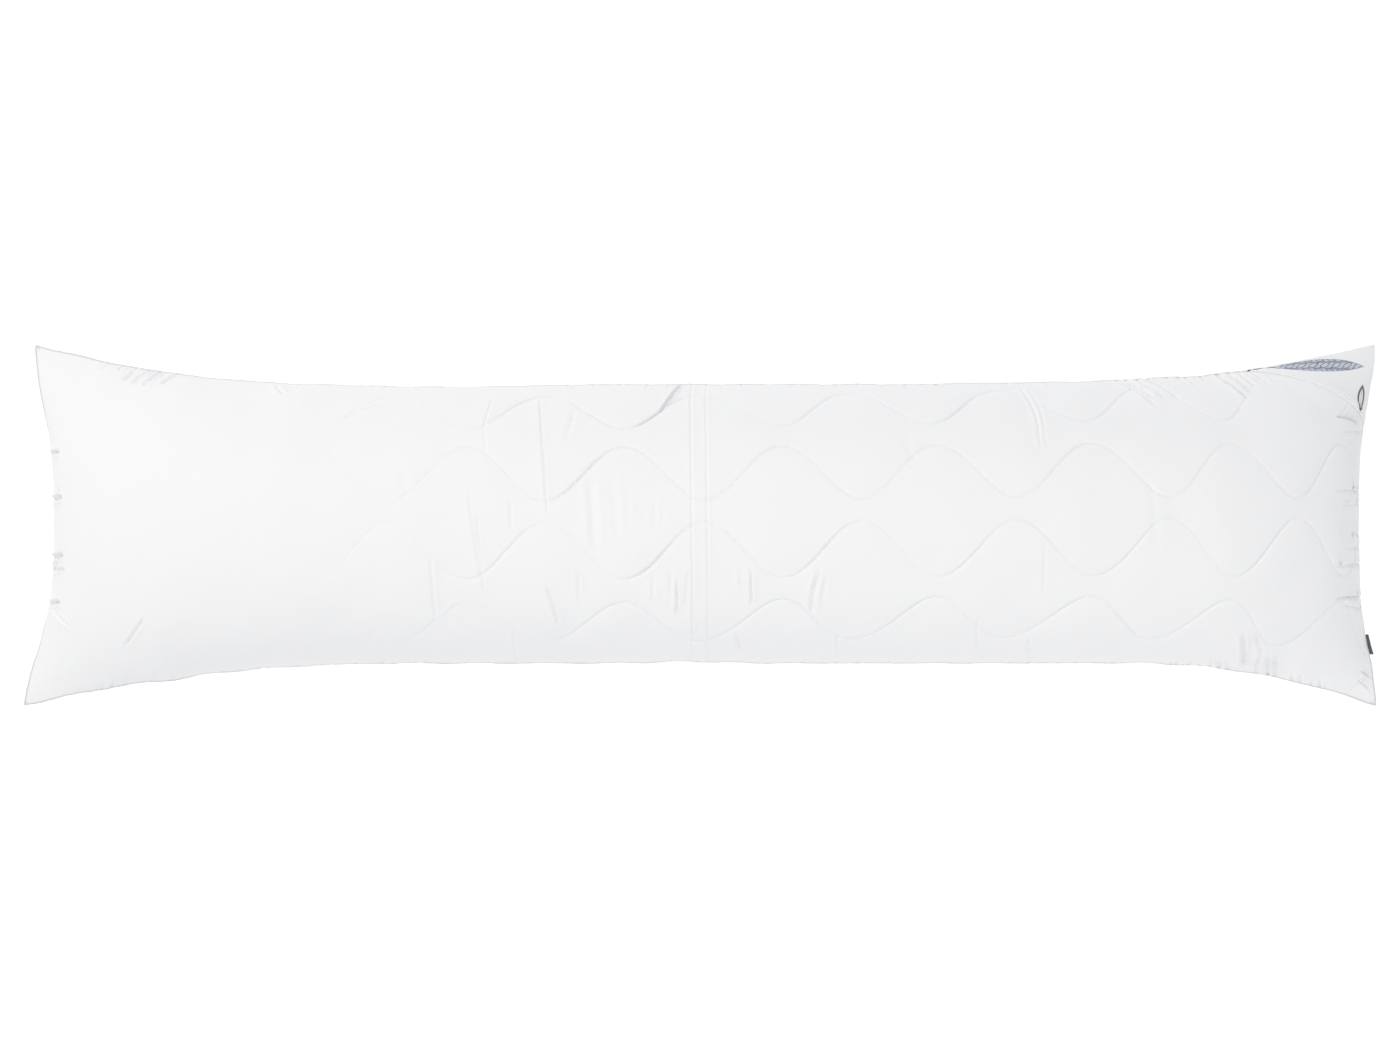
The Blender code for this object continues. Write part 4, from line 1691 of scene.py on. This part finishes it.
@dataclass
class CornerPatch:
    """The percale patch over a corner of the face, with a turned and topstitched edge."""

    surface: CasingSurface
    finish: PrintedPercale = PrintedPercale()
    rows: int = 66
    columns: int = 136
    edge_closeness: float = 1.5
    thickness: float = 0.0006
    gap: float = 0.0002
    hem: float = 0.0085
    hem_height: float = 0.0010
    roll: float = 0.0012
    stitch_line: float = 0.0026
    stitch_sink: float = 0.0006
    stitch_reach: float = 0.0009
    stitch_ends: tuple[float, float] = (0.012, 0.006)
    seam_fade: float = 0.004
    snap: float = 1e-5

    def __post_init__(self) -> None:
        """Work out the diagonal edge's length and the corner's distance from it."""
        cut = self.surface.patch
        self.edge_length = math.hypot(cut.along, cut.down)
        self.height = cut.along * cut.down / self.edge_length

    def flat_place(self, along: np.ndarray, inward: np.ndarray) -> tuple[np.ndarray, np.ndarray]:
        """The flat place of a point of the patch.

        Args:
            along: Lengths along the diagonal edge, from the long seam.
            inward: Lengths from the edge towards the corner.

        Returns:
            The lengths u and v on the casing's cloth.
        """
        form, cut = self.surface.form, self.surface.patch
        run_u, run_v = cut.along / self.edge_length, cut.down / self.edge_length
        u = form.flat_right - cut.along + along * run_u + inward * run_v
        v = form.half_width - along * run_v + inward * run_u
        return u, v

    def upper_height(self, inward: np.ndarray) -> np.ndarray:
        """How far the patch's face lies off the casing, with its turned edge and stitch line."""
        roll = round_rise(inward / self.roll)
        hem = self.hem_height * (1.0 - smooth_step((inward - self.hem * 0.8) / (self.hem * 0.4)))
        off = (inward - self.stitch_line) / self.stitch_reach
        sink = self.stitch_sink * np.exp(-(off**2))
        return self.gap + (self.thickness + hem - sink) * roll

    def flat_cut(self) -> bpy.types.Mesh:
        """The flat triangle, in rows along its diagonal edge and cut off at the two seams."""
        form = self.surface.form
        grid = grid_shape(self.columns, self.rows)
        where = grid_shares(grid)
        inward = self.height * where[:, 1] ** self.edge_closeness
        u, v = self.flat_place(self.edge_length * where[:, 0], inward)
        for vert, over, up in zip(grid.verts, u, v):
            vert.co = (over, up, 0.0)
        for point, outward in (
            ((0.0, form.half_width, 0.0), (0.0, 1.0, 0.0)),
            ((form.flat_right, 0.0, 0.0), (1.0, 0.0, 0.0)),
        ):
            bmesh.ops.bisect_plane(
                grid,
                geom=grid.verts[:] + grid.edges[:] + grid.faces[:],
                dist=self.snap,
                plane_co=point,
                plane_no=outward,
                clear_outer=True,
            )
        return mesh_of("patch_layer", grid)

    def layer(self, upper: bool) -> bpy.types.Mesh:
        """One side of the patch's cloth, in place.

        Args:
            upper: Whether it is the side that shows.

        Returns:
            An open mesh.
        """
        form = self.surface.form
        mesh = self.flat_cut()
        flat = vertex_places(mesh)
        u = np.minimum(flat[:, 0], form.flat_right)
        v = np.minimum(flat[:, 1], form.half_width)
        to_seam = form.to_nearest_seam(u, v)
        inward = np.clip(self.surface.patch.side(form, u, v) * self.height, 0.0, None)
        raised = np.full_like(u, self.gap)
        if upper:
            swell = round_rise(to_seam / self.seam_fade)
            swell[np.minimum(to_seam, inward) < 2.0 * self.snap] = 0.0
            raised += (self.upper_height(inward) - self.gap) * swell
        lay_out(mesh, self.surface.at(u, v, Face.FRONT, raised)[0], u, v)
        return mesh

    def build(self) -> bpy.types.Object:
        """Shape the patch over the corner.

        Returns:
            The patch, which replaces its solid.
        """
        whole = joined(self.layer(upper) for upper in (True, False))
        bmesh.ops.remove_doubles(whole, verts=whole.verts[:], dist=self.snap / 4.0)
        mesh = closed_mesh("printed_patch", whole)
        piece = finished_piece("printed_patch", mesh, self.finish.material())
        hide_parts("corner_patch")
        return piece

    def topstitch(self, sewing: Stitching) -> bpy.types.Object:
        """The stitches along the turned edge.

        Args:
            sewing: How a stitch is made.

        Returns:
            The sewing of the patch.
        """
        start, finish = self.stitch_ends
        along = np.linspace(start, self.edge_length - finish, 400)
        inward = np.full_like(along, self.stitch_line)
        u, v = self.flat_place(along, inward)
        shape = bmesh.new()
        raised = float(self.upper_height(inward)[0])
        sewing.add_stitches(shape, u, v, Face.FRONT, raised)
        mesh = mesh_of("patch_sewing", shape)
        mesh.shade_smooth()
        return finished_piece("patch_sewing", mesh, sewing.material)


@dataclass
class SideLabel:
    """A folded loop of woven tape that droops from the right end seam."""

    surface: CasingSurface
    finish: WovenTape = WovenTape()
    width: float = 0.022
    length: float = 0.009
    tape: float = 0.00045
    fold_radius: float = 0.00055
    flat_v: float = -0.129
    droop: float = 2.0
    upper_share: float = 0.62
    curl: float = 0.0006
    pinch: float = 0.45
    pinch_reach: float = 0.004
    gap: float = 0.0003
    steps: int = 44
    ribs: int = 16

    def profile(self) -> tuple[np.ndarray, np.ndarray]:
        """The loop's middle line: out along its face, round the fold and back under it.

        Returns:
            How far each point is along the drooping line, and how far above it.
        """
        straight = np.linspace(0.0, self.length - self.fold_radius, self.steps // 2)
        turn = np.linspace(0.0, np.pi, 9)[1:-1]
        reach = np.concatenate([
            straight,
            straight[-1] + self.fold_radius * np.sin(turn),
            straight[::-1],
        ])
        rise = np.concatenate([
            np.full_like(straight, self.fold_radius),
            self.fold_radius * np.cos(turn),
            np.full_like(straight, -self.fold_radius),
        ])
        pinch = 1.0 - smooth_step(reach / self.pinch_reach)
        return reach, rise * (1.0 - self.pinch * pinch)

    def build(self) -> bpy.types.Object:
        """Shape the label.

        Returns:
            The label, which replaces its solid.
        """
        reach, rise = self.profile()
        mesh = mesh_of("tape", grid_shape(len(reach) - 1, self.ribs))
        where = (vertex_places(mesh)[:, :2] + 1.0) / 2.0
        index = np.rint(where[:, 0] * (len(reach) - 1)).astype(int)
        over = (where[:, 1] - 0.5) * self.width
        end = np.full_like(over, self.surface.form.flat_right)
        root, _ = self.surface.at(end, self.flat_v + over, Face.FRONT)
        bend = self.length / self.droop
        turn = self.droop * reach[index] / self.length
        curl = self.curl * np.sin(over / self.width * 2.6 + 0.5) * reach[index] / self.length
        share = 1.0 + (self.upper_share - 1.0) * (over / self.width + 0.5)
        out = self.gap + (bend * share + rise[index]) * np.sin(turn) + curl
        down = bend * (1.0 - np.cos(turn)) - rise[index] * np.cos(turn)
        place = np.stack([root[:, 0] + out, root[:, 1], root[:, 2] - down], axis=1)
        travelled = running_length(np.diff(reach), np.diff(rise))
        lay_out(mesh, place, travelled[index], over)
        mesh.shade_smooth()
        piece = finished_piece("folded_label", mesh, self.finish.material())
        wall = piece.modifiers.new("Tape", "SOLIDIFY")
        wall.thickness = self.tape
        wall.offset = 0.0
        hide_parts("side_label")
        return piece


@dataclass(frozen=True)
class SoftLight:
    """A large round soft light."""

    name: str
    place: tuple[float, float, float]
    size: float
    power: float
    colour: tuple[float, float, float] = (1.0, 0.968, 0.930)

    def build(self, target: Vector) -> None:
        """Hang the light, turned to a target."""
        data = bpy.data.lights.new(self.name, "AREA")
        data.shape = "DISK"
        data.size = self.size
        data.energy = self.power
        data.color = self.colour
        lamp = placed(self.name, data)
        lamp.location = self.place
        lamp.rotation_euler = (target - lamp.location).to_track_quat("-Z", "Y").to_euler()


@dataclass
class Studio:
    """A white floor, soft light from the upper left and a camera straight above the pillow."""

    picture_width: int = 1400
    pixel: float = 0.00105
    seam_height: float = 0.096
    corner_height: float = 0.070
    camera_rise: float = 2.8
    camera_y: float = 0.00026
    sensor: float = 36.0
    floor_half: float = 30.0
    floor_white: tuple[float, ...] = (0.10, 0.10, 0.10, 1.0)
    floor_glow: float = 0.965
    sky_white: tuple[float, ...] = (0.976, 0.987, 1.0, 1.0)
    sky_strength: float = 0.734
    lights: tuple[SoftLight, ...] = (
        SoftLight("key", (-2.2, 1.8, 3.2), 1.5, 51.0),
        SoftLight("overhead", (0.55, -1.4, 1.7), 1.4, 8.0),
    )

    def add_floor(self) -> None:
        """The white floor."""
        shape = bmesh.new()
        bmesh.ops.create_grid(shape, x_segments=1, y_segments=1, size=self.floor_half)
        floor = placed("floor", mesh_of("floor", shape))
        floor.data.materials.append(NodeWork("white_paper").finish({
            "Base Color": self.floor_white,
            "Roughness": 0.95,
            "Specular IOR Level": 0.1,
            "Emission Color": (1.0, 1.0, 1.0, 1.0),
            "Emission Strength": self.floor_glow,
        }))

    def add_light(self) -> None:
        """The soft lights, and the even light of a white room."""
        for light in self.lights:
            light.build(Vector((0.0, 0.0, self.seam_height)))
        world = bpy.data.worlds.new("white_room")
        world.use_nodes = True
        background = world.node_tree.nodes["Background"]
        background.inputs["Color"].default_value = self.sky_white
        background.inputs["Strength"].default_value = self.sky_strength
        bpy.context.scene.world = world

    def add_camera(self) -> None:
        """The camera, straight above the middle of the picture."""
        data = bpy.data.cameras.new("camera")
        data.sensor_width = self.sensor
        height = self.seam_height + self.camera_rise
        span = self.picture_width * self.pixel
        data.lens = self.sensor * (height - self.corner_height) / span
        camera = placed("camera", data)
        camera.location = (0.0, self.camera_y, height)
        bpy.context.scene.camera = camera

    def build(self) -> None:
        """Set up the studio."""
        bpy.context.scene.view_settings.view_transform = "Standard"
        self.add_floor()
        self.add_light()
        self.add_camera()


def main() -> None:
    """Dress the pillow and set up its studio."""
    logging.basicConfig(level=logging.INFO, format="%(name)s: %(message)s")
    form = PillowForm()
    settled = SettledCloth(form)
    settled.run()
    surface = CasingSurface(form, Quilting(form), settled, SeamLine(form), PatchCut())
    Casing(surface).build()
    sewing = Stitching(surface, SewingThread().material())
    for face in Face:
        sewing.build(face)
    patch = CornerPatch(surface)
    patch.build()
    patch.topstitch(sewing)
    SideLabel(surface).build()
    Studio().build()


if __name__ == "__main__":
    main()
